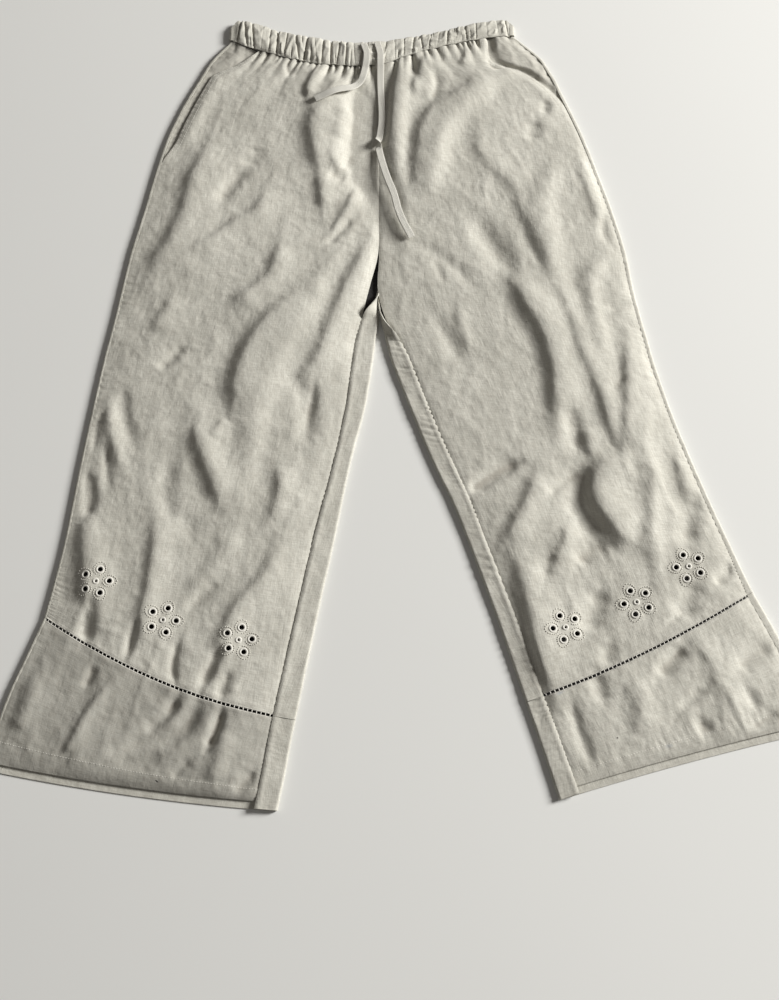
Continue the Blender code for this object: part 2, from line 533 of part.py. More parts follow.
def tape(name, points, trees, colour):
    """Build one hanging end of the drawstring, lying on the front."""
    path = tape_path(points, TAPE_STEP)
    way = np.gradient(path, axis=0)
    way /= np.linalg.norm(way, axis=1, keepdims=True)
    square = np.stack([way[:, 1], -way[:, 0]], axis=-1)
    offsets = np.array([-0.5, 0.0, 0.5]) * TAPE_WIDTH
    spread = path[:, None, :] + offsets[None, :, None] * square[:, None, :]
    reach = np.linspace(-0.7, 0.7, 9) * TAPE_WIDTH
    ahead = np.linspace(-0.5, 0.5, 5) * TAPE_STEP
    near = path[:, None, None, :] + reach[None, :, None, None] * square[:, None, None, :]
    near = near + ahead[None, None, :, None] * way[:, None, None, :]
    tops = cloth_top(trees, near[..., 0], near[..., 1]).max(axis=(1, 2))
    rest = tops.copy()
    for _ in range(3):
        rest = np.maximum(tops, np.convolve(np.pad(rest, 1, mode="edge"), (0.25, 0.5, 0.25), mode="valid"))
    z = rest + 0.4 + TAPE_THICK / 2.0
    return shell(name, grid3(spread[..., 0], spread[..., 1], z[:, None] + 0.0 * spread[..., 0]), TAPE_THICK, colour)


def main():
    """Build every piece of the trousers."""
    for old in list(bpy.data.objects):
        bpy.data.objects.remove(old, do_unlink=True)
    oatmeal, under, pocket, tie = (0.52, 0.50, 0.44), (0.49, 0.47, 0.41), (0.47, 0.45, 0.39), (0.56, 0.54, 0.48)
    counts = {"arc": 4, "flat": 6, "turn": 3}
    sides = (
        ("right", RIGHT_LEG, RIGHT_BAND, RIGHT_FOLDS, RIGHT_FLOWERS),
        ("left", LEFT_LEG, LEFT_BAND, LEFT_FOLDS, LEFT_FLOWERS),
    )
    under_tape = []
    for side, leg, band, folds, flowers in sides:
        upper = front_piece(f"front_{side}_leg", leg, folds, 23, oatmeal, (0.01, 0.004), waist=True)
        under_tape.append(upper)
        cut_eyelets(upper, flowers)
        front_piece(f"front_{side}_hem_band", band, folds, 23, oatmeal, (0.008, 0.0))
        back_piece(f"back_{side}_leg", leg, under, (0.01, 0.004), counts)
        back_piece(f"back_{side}_hem_band", band, under, (0.008, 0.0), counts, BACK_HEM_DROP)
    pocket_piece("pocket_facing_right", RIGHT_LEG[:6], pocket)
    pocket_piece("pocket_facing_left", LEFT_LEG[:5], pocket)
    under_tape.append(casing_front(oatmeal))
    casing_back(under)
    trees = [
        BVHTree.FromPolygons([v.co.copy() for v in p.data.vertices], [f.vertices[:] for f in p.data.polygons])
        for p in under_tape
    ]
    tape("drawstring_right", RIGHT_TIE, trees, tie)
    tape("drawstring_left", LEFT_TIE, trees, tie)


main()
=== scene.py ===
"""Cropped wide-leg trousers with a gathered drawstring waist, laid flat with the front up.

Tables are in millimetres from the front fork: x to the wearer's left, y to the waist, z up from the floor.
"""

import logging
import math
from dataclasses import dataclass, field
from enum import Enum

import bpy
import numpy as np
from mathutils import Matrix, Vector
from mathutils.bvhtree import BVHTree

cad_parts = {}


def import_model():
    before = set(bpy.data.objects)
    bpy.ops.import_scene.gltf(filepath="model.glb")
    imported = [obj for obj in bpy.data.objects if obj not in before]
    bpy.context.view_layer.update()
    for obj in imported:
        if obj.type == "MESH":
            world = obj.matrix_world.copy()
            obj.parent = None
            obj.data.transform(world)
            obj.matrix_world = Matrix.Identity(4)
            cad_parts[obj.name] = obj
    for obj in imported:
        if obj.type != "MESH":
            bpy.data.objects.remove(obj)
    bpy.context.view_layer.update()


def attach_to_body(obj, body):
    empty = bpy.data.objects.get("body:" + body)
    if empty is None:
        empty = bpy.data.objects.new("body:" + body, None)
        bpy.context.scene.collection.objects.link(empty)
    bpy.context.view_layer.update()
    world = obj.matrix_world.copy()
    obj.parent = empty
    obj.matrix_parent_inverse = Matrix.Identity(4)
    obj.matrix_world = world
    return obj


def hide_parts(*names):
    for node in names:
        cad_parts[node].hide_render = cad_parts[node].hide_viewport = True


LOG = logging.getLogger("trousers")
Thing, Material, Socket, Node = bpy.types.Object, bpy.types.Material, bpy.types.NodeSocket, bpy.types.Node
MM = 0.001
BODY = "root"

# Middle of the outline, moved to the origin
CENTRE_X, CENTRE_Y = 28.34, -152.73

# Cloth and seams, as the solids have them
SEAM_GAP = 0.25  # between two pieces along a seam
BACK_MID = 0.6  # middle of the back cloth, which lies on the floor
SIDE_MID = 4.0  # middle of the cloth at the side and inside seams
CENTRE_MID = 3.2  # middle of the cloth along the centre front seam
INNER_MID = 4.6  # middle of the cloth along the inside edge below the fork
WAIST_MID = 6.2  # middle of the cloth under the casing
LOFT_MID = 8.8  # middle of the loose front cloth between folds
LEAST_MID = 2.3  # where a valley touches the back
SEAM_HOLD = 9.0  # a fold dies out this close to a seam
BACK_HEM_DROP = 8.0  # the back hem shows this far below the front hem
POCKET_END = 120.0  # above this the facing meets the side seam
POCKET_SEAM = 3.6  # from the outline to the side seam beside a pocket
POCKET_MID = 2.3  # middle of the facing under the mouth
POCKET_UNDER = 9.0  # how far the facing goes on under the front
MOUTH_ROWS = (1.7, 6.2)  # from the edge of a pocket mouth to its two rows of stitches

# Seam puckers: height, distance from one to the next, and reach from the seam
SIDE_PUCKERS = (0.45, 7.3, 9.0)
INNER_PUCKERS = (0.40, 6.1, 7.0)
MOUTH_PUCKERS = (0.5, 7.0, 9.0)
HEM_PUCKERS = (0.3, 8.0, 10.0)

# Painted shade on cloth that lies under other cloth, as a share of the deepest fold
INSIDE_SHADE = 3.0  # inside of the back cloth, seen only through the eyelets
FACING_SHADE = 0.25
CASING_SHADE = 0.2

# Finer sizes that only show close up
EDGE_ROUND = 0.12  # how far the rim of a piece of cloth stands out
FRONT_WALL = 0.8
BACK_WALL = 1.2
CASING_WALL = 1.6
FOLD_LIFT = 1.9  # height of every fold in the tables is raised by this
RELIEF_LIMIT = 9.0  # folds level off towards this height and depth
OPENWORK_HALF = 1.3  # from the middle of the openwork line to the cloth on each side
OPENWORK_PITCH = 4.6
HEM_DEPTH = 17.0
HEM_STITCH = 1.6  # from the top of the turned hem down to its stitches
HEM_MID = 2.4  # middle of the front cloth at the very hem
EYELET_HOLE = 2.55
CENTRE_HOLE = 1.15
PETAL_RING = 13.4
PETALS = 5

# Lines across a leg, waist to hem: outer edge (ox, oy), inner edge (ix, iy), sag of the line between them,
# how far the front stops short of each edge, the back's turn-over at the inner edge and its curl
SECTION_COLUMNS = ("ox", "oy", "ix", "iy", "sag", "front_o", "front_i", "turn", "curl")
RIGHT_LEG = (
    (-177.0, 287.0, -0.2, 252.0, -12.0, 34.0, 0.0, 3.0, 0.0),
    (-198.0, 262.0, -0.2, 232.0, -8.0, 30.0, 0.0, 3.0, 0.0),
    (-211.5, 236.0, -0.2, 208.0, -5.0, 12.0, 0.0, 3.0, 0.0),
    (-230.0, 197.0, -0.2, 172.0, -3.0, 13.0, 0.0, 3.0, 0.0),
    (-246.4, 153.0, -0.2, 130.0, 0.0, 13.0, 0.0, 3.0, 0.0),
    (-256.5, 113.0, -0.2, 94.0, 0.0, 3.6, 0.0, 3.0, 0.0),
    (-268.0, 57.0, -0.2, 44.0, 0.0, 3.6, 0.0, 3.0, 0.0),
    (-280.0, 3.0, -0.2, 0.0, 0.0, 3.5, 1.0, 3.0, 0.0),
    (-287.0, -40.0, -0.2, -36.0, 0.0, 3.4, 9.0, 3.0, 0.0),
    (-290.6, -63.0, -0.3, -58.0, 0.0, 3.3, 14.0, 8.0, 0.5),
    (-294.3, -86.7, -0.6, -80.0, 0.0, 3.2, 18.5, 17.6, 1.0),
    (-299.0, -113.0, -4.0, -105.0, 0.0, 3.1, 21.0, 20.6, 1.0),
    (-303.0, -137.0, -6.5, -128.0, 0.0, 3.0, 22.0, 21.6, 1.0),
    (-311.4, -195.4, -15.0, -187.0, 0.0, 3.0, 20.5, 20.1, 1.0),
    (-320.0, -260.0, -31.0, -256.0, 0.0, 3.0, 18.0, 17.6, 1.0),
    (-329.0, -337.0, -46.5, -340.0, 0.0, 2.9, 22.0, 21.6, 1.0),
    (-337.0, -385.0, -62.0, -417.0, -8.0, 2.8, 22.0, 21.6, 1.0),
    (-344.5, -424.0, -83.5, -531.0, -18.0, 2.8, 22.5, 22.1, 1.0),
)
RIGHT_BAND = (
    (-344.5, -424.0, -83.5, -531.0, -18.0, 2.8, 22.5, 22.1, 1.0),
    (-361.0, -468.0, -88.0, -556.0, -14.0, 2.8, 22.5, 22.1, 1.0),
    (-376.3, -510.0, -92.0, -582.0, -10.0, 2.8, 22.5, 22.1, 1.0),
    (-393.0, -572.5, -98.0, -613.5, -5.0, 2.8, 22.5, 22.1, 1.0),
)
LEFT_LEG = (
    (160.0, 294.0, 0.2, 252.0, 7.0, 32.0, 0.0, 3.0, 0.0),
    (190.0, 265.0, 0.2, 238.0, 3.0, 56.0, 0.0, 3.0, 0.0),
    (199.0, 250.0, 0.2, 226.0, 2.0, 34.0, 0.0, 3.0, 0.0),
    (207.0, 234.0, 0.2, 211.0, 0.0, 21.0, 0.0, 3.0, 0.0),
    (215.0, 213.0, 0.2, 192.0, 0.0, 9.0, 0.0, 3.0, 0.0),
    (224.0, 190.0, 0.2, 170.0, 0.0, 4.6, 0.0, 3.0, 0.0),
    (237.5, 153.0, 0.2, 134.0, 0.0, 4.6, 0.0, 3.0, 0.0),
    (252.0, 105.0, 0.2, 92.0, 0.0, 4.2, 0.0, 3.0, 0.0),
    (266.0, 55.0, 0.2, 45.0, 0.0, 4.2, 0.0, 3.0, 0.0),
    (277.5, 5.0, 0.2, 0.0, 0.0, 4.2, 0.0, 3.0, 0.0),
    (284.0, -42.0, 0.2, -38.0, 0.0, 4.2, -1.6, 3.0, 0.0),
    (291.5, -83.0, 0.8, -80.0, 0.0, 4.2, 6.5, 7.0, 0.6),
    (297.5, -112.0, 9.0, -110.0, 0.0, 4.2, 16.0, 15.6, 1.0),
    (303.4, -140.0, 17.0, -139.0, 0.0, 4.2, 20.5, 20.1, 1.0),
    (318.0, -195.4, 37.5, -196.0, 0.0, 4.2, 20.5, 20.1, 1.0),
    (334.8, -248.0, 58.5, -251.0, 0.0, 4.6, 21.0, 20.6, 1.0),
    (352.5, -299.4, 80.0, -300.0, 0.0, 5.0, 19.5, 19.1, 1.0),
    (371.0, -350.0, 99.5, -354.0, 0.0, 5.2, 18.5, 18.1, 1.0),
    (380.0, -374.0, 125.0, -430.0, -5.0, 5.6, 18.5, 18.1, 1.0),
    (389.0, -397.0, 150.5, -513.0, -9.0, 6.2, 18.0, 17.6, 1.0),
)
LEFT_BAND = (
    (389.0, -397.0, 150.5, -513.0, -9.0, 6.2, 18.0, 17.6, 1.0),
    (410.0, -442.0, 159.5, -541.0, -5.0, 6.6, 18.6, 18.2, 1.0),
    (431.0, -492.0, 169.0, -572.0, -1.0, 7.0, 19.3, 18.9, 1.0),
    (448.5, -532.0, 178.0, -603.0, 3.0, 7.4, 20.0, 19.6, 1.0),
)

# Casing: x and y of its upper edge; its lower edge is the first line across each leg
CASING_TOP = (
    (-178.0, 304.0), (-169.0, 315.0), (-147.0, 310.5), (-119.0, 300.0), (-73.0, 289.0), (-23.0, 282.5),
    (20.0, 288.0), (76.0, 300.0), (125.0, 312.0), (150.0, 316.0), (161.0, 307.0),
)
GATHERS = (
    -168.0, -160.0, -151.0, -140.0, -131.0, -122.0, -112.0, -98.0, -88.0, -76.0, -68.0, -58.0, -49.0, -40.0,
    -30.0, -20.0, -8.0, 7.0, 18.0, 29.0, 40.0, 50.0, 60.0, 70.0, 81.0, 92.0, 103.0, 115.0, 128.0, 141.0,
    152.0,
)

# Flower centres on each leg, with the turn of the first petal in degrees
RIGHT_FLOWERS = ((-292.2, -387.4, 75.0), (-221.0, -428.7, 70.0), (-142.4, -449.9, 78.0))
LEFT_FLOWERS = ((192.4, -436.2, 115.0), (266.9, -409.0, 117.0), (323.4, -370.5, 113.0))

# Drawstring ends: points along the tape, and how far it lies off the cloth at distances along it
TAPE_WIDTH, TAPE_THICK = 8.2, 1.1
RIGHT_TIE = ((-19, 279), (-15, 264), (-17, 246), (-22, 228), (-32, 218), (-47, 212), (-60, 206), (-75, 199))
LEFT_TIE = (
    (-3, 281), (1, 262), (1, 235), (2, 205), (3, 178), (1, 158), (-1, 144), (2, 124), (9, 97), (17, 74),
    (22, 53), (29, 34), (37, 18),
)
RIGHT_LIFT = ((0.0, 0.0), (30.0, 0.0), (45.0, 2.2), (85.0, 3.2), (106.0, 1.6))
LEFT_LIFT = ((0.0, 0.0), (125.0, 0.0), (150.0, 1.0), (190.0, 3.0), (245.0, 4.0), (270.0, 2.5))

# Folds on the front cloth, each listed from the waist down. A lean fold is a ridge with a steep face on the
# wearer's right of its line and a long slope on the other side. A soft fold is even on both sides. A height
# below 0 makes it a trough.
FOLD_COLUMNS = ("kind", "height", "width", "reach", "line")
RIGHT_FOLDS = (
    ("soft", -2.0, 4, 0, ((-126, 270), (-124, 262), (-128, 254))),
    ("soft", -2.2, 3, 0, ((-107, 263), (-109, 247), (-107, 239))),
    ("soft", -1.5, 5, 0, ((-106, 239), (-90, 241), (-77, 247))),
    ("lean", 4.2, 4.5, 16, ((-73, 252), (-80, 236), (-86, 214), (-83, 200))),
    ("lean", 3.2, 5.5, 12, ((-47, 238), (-60, 216), (-78, 198))),
    ("lean", 8.4, 13, 22, ((-60, 200), (-74, 184), (-80, 165), (-78, 146), (-74, 124), (-69, 104))),
    ("lean", 4.2, 8, 14, ((-71, 100), (-68, 80), (-66, 54))),
    ("soft", -7.2, 15, 0, ((-26, 226), (-22, 190), (-23, 150), (-21, 112), (-16, 70))),
    ("lean", 2.4, 6, 10, ((-57, 138), (-55, 120), (-46, 104))),
    ("soft", -1.6, 5, 0, ((-28, 130), (-42, 112))),
    ("lean", 2.6, 5, 12, ((-25, 90), (-33, 70), (-40, 52), (-50, 34), (-59, 13))),
    ("soft", -1.8, 5, 0, ((-30, 46), (-45, 26), (-61, 8))),
    ("lean", 6.6, 12, 16, ((-7, 28), (-20, -4), (-38, -46), (-53, -86), (-64, -120), (-90, -166))),
    ("lean", 4.8, 10, 24, ((-113, 14), (-118, -10), (-124, -28), (-142, -46), (-171, -66))),
    ("lean", 9.6, 13, 32, (
        (-86, -43), (-105, -65), (-126, -87), (-142, -113), (-152, -140), (-157, -170),
        (-157, -204),
    )),
    ("lean", 3.4, 7, 10, ((-166, -203), (-180, -226))),
    ("lean", 6.4, 10, 20, ((-200, -204), (-197, -225), (-190, -246), (-180, -272), (-168, -304))),
    ("lean", 4.8, 11, 28, (
        (-196, 150), (-208, 120), (-218, 96), (-224, 62), (-240, 14), (-256, -12), (-263, -36),
    )),
    ("soft", -1.2, 11, 0, ((-142, 140), (-150, 112))),
    ("lean", 4.0, 9, 18, ((-126, 88), (-140, 56), (-165, 38), (-190, 18), (-218, 0))),
    ("lean", 2.3, 8, 16, ((-228, -50), (-240, -75), (-252, -100))),
    ("soft", -1.6, 6, 0, ((-213, -115), (-242, -146))),
    ("soft", -1.3, 8, 0, ((-280, -168), (-274, -202), (-261, -236))),
    ("soft", 1.4, 8, 0, ((-294, -184), (-287, -222), (-272, -262))),
    ("soft", -2.4, 7, 0, ((-314, -262), (-306, -296), (-311, -318))),
    ("lean", 5.2, 11, 24, (
        (-312, -306), (-311, -340), (-307, -376), (-303, -404), (-297, -432), (-300, -448),
    )),
    ("lean", 4.2, 9, 18, (
        (-238, -310), (-236, -342), (-238, -372), (-241, -402), (-248, -438), (-254, -466),
    )),
    ("lean", 3.4, 9, 14, ((-108, -252), (-106, -288), (-116, -322))),
    ("lean", 4.8, 11, 15, (
        (-108, -340), (-112, -366), (-126, -388), (-146, -412), (-160, -446), (-166, -472),
        (-178, -492),
    )),
    ("soft", -1.0, 9, 0, ((-205, -310), (-195, -342))),
    ("soft", -1.8, 5, 0, ((-205, -450), (-209, -480), (-205, -496))),
    ("soft", 1.4, 12, 0, ((-150, -326), (-168, -366), (-196, -404))),
    ("lean", 3.6, 6, 10, ((-270, -491), (-284, -510), (-297, -531), (-306, -552), (-318, -580))),
    ("soft", -1.6, 5, 0, ((-288, -476), (-297, -500))),
    ("soft", -3.2, 6, 0, ((-202, -505), (-208, -520), (-221, -535), (-237, -543))),
    ("soft", -4.0, 9, 0, ((-182, -512), (-188, -530), (-201, -545), (-226, -552), (-262, -562))),
    ("soft", -3.2, 5, 0, ((-157, -520), (-162, -540), (-171, -562))),
    ("soft", -2.4, 6, 0, ((-122, -582), (-132, -594), (-142, -606))),
    ("soft", 2.6, 13, 0, ((-38, 196), (-42, 172), (-50, 146))),
    ("soft", -2.2, 8, 0, ((-38, 96), (-58, 104))),
    ("soft", -2.2, 9, 0, ((-152, 112), (-170, 88), (-186, 62))),
    ("soft", 2.2, 14, 0, (
        (-40, 10), (-62, -30), (-84, -75), (-108, -120), (-128, -175), (-138, -240), (-146, -300),
    )),
    ("soft", -1.0, 5, 0, ((-296, -192), (-307, -214), (-306, -240))),
    ("soft", -1.1, 5, 0, ((-291, -226), (-290, -260), (-287, -286))),
    ("soft", -1.8, 10, 0, ((-96, -150), (-82, -176), (-76, -206), (-84, -240))),
    ("soft", -1.4, 5, 0, ((-70, -158), (-72, -184), (-78, -212))),
    ("soft", -2.6, 8, 0, ((-296, -400), (-297, -430), (-301, -455))),
    ("soft", -2.6, 6, 0, ((-158, -452), (-169, -476), (-181, -500))),
    ("soft", -2.2, 5, 0, ((-246, -424), (-251, -446), (-257, -470))),
    ("soft", -1.6, 7, 0, ((-165, -386), (-182, -401), (-198, -420))),
    ("soft", -1.4, 10, 0, ((-222, -250), (-226, -285), (-216, -322))),
    ("soft", -1.8, 6, 0, ((-150, -482), (-158, -500), (-160, -512))),
    ("soft", 1.8, 10, 0, ((-148, -540), (-158, -572), (-166, -598))),
    ("soft", -1.4, 6, 0, ((-186, -572), (-206, -590))),
    ("soft", 1.8, 10, 0, ((-345, -480), (-352, -510), (-364, -546))),
    ("soft", -1.6, 9, 0, ((-262, -566), (-238, -574), (-214, -566))),
    ("soft", -1.4, 5, 0, ((-302, -560), (-318, -578), (-334, -586))),
)
LEFT_FOLDS = (
    ("lean", 6.2, 6, 12, ((23, 264), (18, 236), (15, 200), (13, 170), (9, 144))),
    ("lean", 5.0, 6, 20, ((58, 273), (47, 250), (41, 230), (37, 204))),
    ("lean", 6.6, 13, 22, (
        (118, 246), (105, 222), (90, 208), (70, 196), (55, 180), (47, 160), (44, 130), (40, 100),
        (32, 70),
    )),
    ("soft", 3.2, 12, 0, ((150, 240), (112, 212), (86, 184), (70, 150), (62, 114), (58, 80))),
    ("lean", 3.0, 6, 10, ((108, 283), (100, 262), (96, 248))),
    ("soft", -2.0, 3, 0, ((127, 291), (129, 268), (136, 247), (160, 250))),
    ("soft", -2.0, 5, 0, ((72, 286), (66, 274))),
    ("soft", -1.2, 6, 0, ((63, 246), (68, 226), (62, 200))),
    ("lean", 2.9, 12, 18, (
        (114, 172), (113, 150), (125, 116), (141, 98), (155, 80), (161, 54), (168, 30), (178, 4),
        (184, -24),
    )),
    ("soft", 2.2, 14, 0, ((206, 120), (186, 64), (190, 20), (197, -30), (210, -60))),
    ("soft", -2.9, 13, 0, ((110, 44), (120, 24), (131, 4), (142, -16), (152, -36))),
    ("lean", 9.4, 11, 25, (
        (140, -26), (151, -43), (163, -68), (176, -92), (185, -120), (190, -160), (190, -195),
        (188, -212),
    )),
    ("lean", 4.6, 8, 18, (
        (204, -58), (214, -92), (222, -124), (235, -160), (243, -190), (250, -220), (258, -246),
    )),
    ("lean", 4.4, 8, 20, ((271, -108), (268, -160), (266, -200), (260, -244))),
    ("lean", 9.8, 17, 20, (
        (268, -234), (260, -250), (242, -256), (231, -266), (225, -284), (232, -304), (244, -322),
        (256, -338), (272, -348),
    )),
    ("lean", 2.6, 7, 12, ((218, -213), (222, -234), (228, -250))),
    ("soft", -1.5, 5, 0, ((214, -263), (195, -278), (177, -293))),
    ("soft", -3.8, 7, 0, ((152, -252), (130, -263), (112, -275), (96, -287))),
    ("lean", 4.8, 9, 20, ((168, -262), (160, -285), (150, -306), (140, -326), (128, -347))),
    ("lean", 6.6, 12, 24, ((141, -354), (147, -380), (152, -410), (158, -440), (161, -466), (171, -506))),
    ("lean", 2.8, 7, 12, ((201, -318), (192, -346), (180, -372), (174, -392))),
    ("soft", -3.0, 9, 0, ((242, -348), (222, -353), (206, -368))),
    ("soft", -2.6, 12, 0, ((232, -394), (222, -420), (214, -442))),
    ("lean", 1.8, 6, 12, ((316, -246), (320, -270), (325, -294))),
    ("soft", -2.4, 10, 0, ((342, -294), (330, -306), (326, -324), (323, -350))),
    ("soft", -2.0, 7, 0, ((374, -367), (360, -378), (350, -392))),
    ("lean", 3.0, 11, 14, ((228, 133), (232, 110), (238, 80), (247, 46), (246, 28))),
    ("soft", -1.5, 8, 0, ((181, 174), (176, 146))),
    ("soft", -1.3, 6, 0, ((196, 202), (192, 184))),
    ("soft", -0.9, 5, 0, ((286, -60), (252, -72))),
    ("soft", -0.8, 4, 0, ((270, -154), (250, -172))),
    ("soft", -1.0, 8, 0, ((60, -74), (75, -105), (92, -138))),
    ("soft", 0.9, 6, 0, ((88, -68), (92, -92), (100, -120))),
    ("soft", -0.8, 3, 0, ((330, -416), (312, -422), (296, -434))),
    ("soft", -3.0, 8, 0, ((313, -454), (300, -470), (284, -488))),
    ("lean", 2.0, 8, 16, ((317, -444), (330, -462), (340, -480), (345, -506), (348, -540), (350, -566))),
    ("lean", 1.4, 4, 8, ((349, -498), (360, -525), (371, -552))),
    ("soft", -2.3, 9, 0, ((402, -453), (382, -467), (364, -479))),
    ("soft", -2.2, 6, 0, ((403, -521), (386, -534), (374, -541))),
    ("soft", -1.8, 6, 0, ((324, -532), (331, -547))),
    ("soft", -1.5, 6, 0, ((195, -508), (200, -535), (208, -560), (215, -582))),
    ("soft", -2.0, 8, 0, ((221, -484), (228, -516))),
    ("soft", -1.6, 6, 0, ((331, -500), (304, -521))),
    ("soft", 3.0, 10, 0, ((32, 240), (25, 200), (20, 150), (22, 100), (30, 70))),
    ("soft", -1.0, 8, 0, ((158, 56), (166, 28), (176, 2), (186, -24))),
    ("soft", -2.0, 11, 0, ((203, -188), (210, -215), (218, -244))),
    ("soft", -1.2, 12, 0, ((312, -240), (316, -275), (320, -310))),
    ("soft", -1.8, 12, 0, ((330, -386), (318, -410), (306, -424))),
    ("soft", 1.8, 10, 0, ((288, -190), (284, -230), (292, -275), (288, -330), (292, -390))),
    ("soft", 1.6, 10, 0, ((262, 10), (236, -40), (240, -90), (250, -130))),
    ("soft", -1.4, 6, 0, ((262, 60), (254, 30), (262, 8))),
    ("soft", -0.8, 5, 0, ((62, -8), (68, -24), (74, -40))),
    ("soft", -1.2, 8, 0, ((44, 12), (80, -14), (104, -40))),
    ("soft", -1.4, 10, 0, ((180, -356), (176, -386))),
    ("soft", -1.4, 8, 0, ((238, -452), (232, -476))),
    ("soft", 1.6, 12, 0, ((258, -486), (268, -520), (262, -550))),
    ("soft", -1.4, 6, 0, ((372, -500), (384, -522))),
    ("soft", -3.2, 14, 0, ((232, -258), (217, -276), (213, -300), (222, -324), (238, -344))),
)


def smooth(value: np.ndarray) -> np.ndarray:
    """Return a soft step from 0 to 1."""
    value = np.clip(value, 0.0, 1.0)
    return value * value * (3.0 - 2.0 * value)


def fade(away: np.ndarray, reach: float, power: float = 1.0) -> np.ndarray:
    """Return 1 at no distance, and less the further away."""
    return np.exp(-((away / reach) ** power))


def not_below(value: np.ndarray, least: float, soft: float) -> np.ndarray:
    """Return a value that flattens out softly above its least."""
    return least + soft * np.logaddexp(0.0, (value - least) / soft)


def run_along(*rows: np.ndarray) -> np.ndarray:
    """Return the distance along a line to each of its points, from their coordinates."""
    step = np.hypot(*(np.diff(row) for row in rows))
    return np.concatenate([np.zeros_like(step[..., :1]), np.cumsum(step, axis=-1)], axis=-1)


def sagging(start: np.ndarray, end: np.ndarray, sag: np.ndarray, share: np.ndarray) -> np.ndarray:
    """Return y on a line that sags between its two ends, at a share of the way."""
    return start + (end - start) * share + 4.0 * sag * share * (1.0 - share)


def circle(count: int, radius: float = 1.0, start: float = 0.0) -> list:
    """Return points evenly round a circle, the first one a share of a step round."""
    turns = (2.0 * math.pi * (k + start) / count for k in range(count))
    return [(radius * math.cos(turn), radius * math.sin(turn)) for turn in turns]


def grid(*parts: np.ndarray) -> np.ndarray:
    """Stack arrays of one coordinate each into a grid of points."""
    return np.stack(np.broadcast_arrays(*parts), axis=-1)


def through(knots: np.ndarray, values: np.ndarray, at: np.ndarray) -> np.ndarray:
    """Interpolate a row of values smoothly, with no overshoot past a flat stretch.

    Args:
        knots: Where the values stand, rising.
        values: One value for each knot.
        at: Where the row is read.

    Returns:
        The value at each place in at.
    """
    knots, values, at = (np.asarray(v, float) for v in (knots, values, at))
    step = np.diff(knots)
    slope = np.diff(values) / step
    tangent = np.concatenate([[slope[0]], (slope[1:] + slope[:-1]) / 2.0, [slope[-1]]])
    flat = np.concatenate([[False], slope[1:] * slope[:-1] <= 0.0, [False]])
    tangent[flat] = 0.0
    place = np.clip(np.searchsorted(knots, at, side="right") - 1, 0, len(step) - 1)
    part = (at - knots[place]) / step[place]
    a, b = values[place], values[place + 1]
    ta, tb = tangent[place] * step[place], tangent[place + 1] * step[place]
    square, cube = part**2, part**3
    return (
        a * (2 * cube - 3 * square + 1)
        + ta * (cube - 2 * square + part)
        + b * (3 * square - 2 * cube)
        + tb * (cube - square)
    )


def even_path(points: tuple, step: float) -> np.ndarray:
    """Return evenly spaced points along a smooth line through the given ones."""
    points = np.array(points, float)
    run = run_along(*points.T)
    at = np.linspace(0.0, run[-1], max(int(run[-1] / step), 4) + 1)
    return np.stack([through(run, points[:, k], at) for k in range(points.shape[1])], axis=-1)


def crumple(x: np.ndarray, y: np.ndarray, size: float, seed: int) -> np.ndarray:
    """Return smooth uneven relief between -1 and 1.

    Args:
        x: Places across, in millimetres.
        y: Places along, in millimetres.
        size: Width of one swell.
        seed: Which relief it is.

    Returns:
        The relief at each place.
    """
    cells = 61
    lattice = np.random.default_rng(seed).uniform(-1.0, 1.0, (cells, cells))
    u, v = x / size + 40.3, y / size + 40.7
    i, j = np.floor(u).astype(int), np.floor(v).astype(int)
    fu, fv = smooth(u - i), smooth(v - j)
    i, j = i % cells, j % cells
    i2, j2 = (i + 1) % cells, (j + 1) % cells
    low = lattice[i, j] * (1 - fu) + lattice[i2, j] * fu
    high = lattice[i, j2] * (1 - fu) + lattice[i2, j2] * fu
    return low * (1 - fv) + high * fv


def creased(x: np.ndarray, y: np.ndarray, size: float, seed: int) -> np.ndarray:
    """Return uneven relief from -1 to 1 that is flat in its swells and has sharp crests."""
    bend = 0.45 * size
    u = x + bend * crumple(x, y, 1.7 * size, seed + 50)
    v = y + bend * crumple(x, y, 1.7 * size, seed + 51)
    return 1.0 - 2.0 * np.minimum(np.abs(crumple(u, v, size, seed)) * 1.9, 1.0) ** 0.8


def softened(relief: np.ndarray, times: int) -> np.ndarray:
    """Return a grid of heights with its small relief smoothed away."""
    for _ in range(times):
        relief = np.pad(relief, 1, mode="edge")
        relief = 0.25 * relief[:-2] + 0.5 * relief[1:-1] + 0.25 * relief[2:]
        relief = 0.25 * relief[:, :-2] + 0.5 * relief[:, 1:-1] + 0.25 * relief[:, 2:]
    return relief


class FoldKind(Enum):
    """How a fold rises across its line."""

    SOFT = "soft"
    LEAN = "lean"


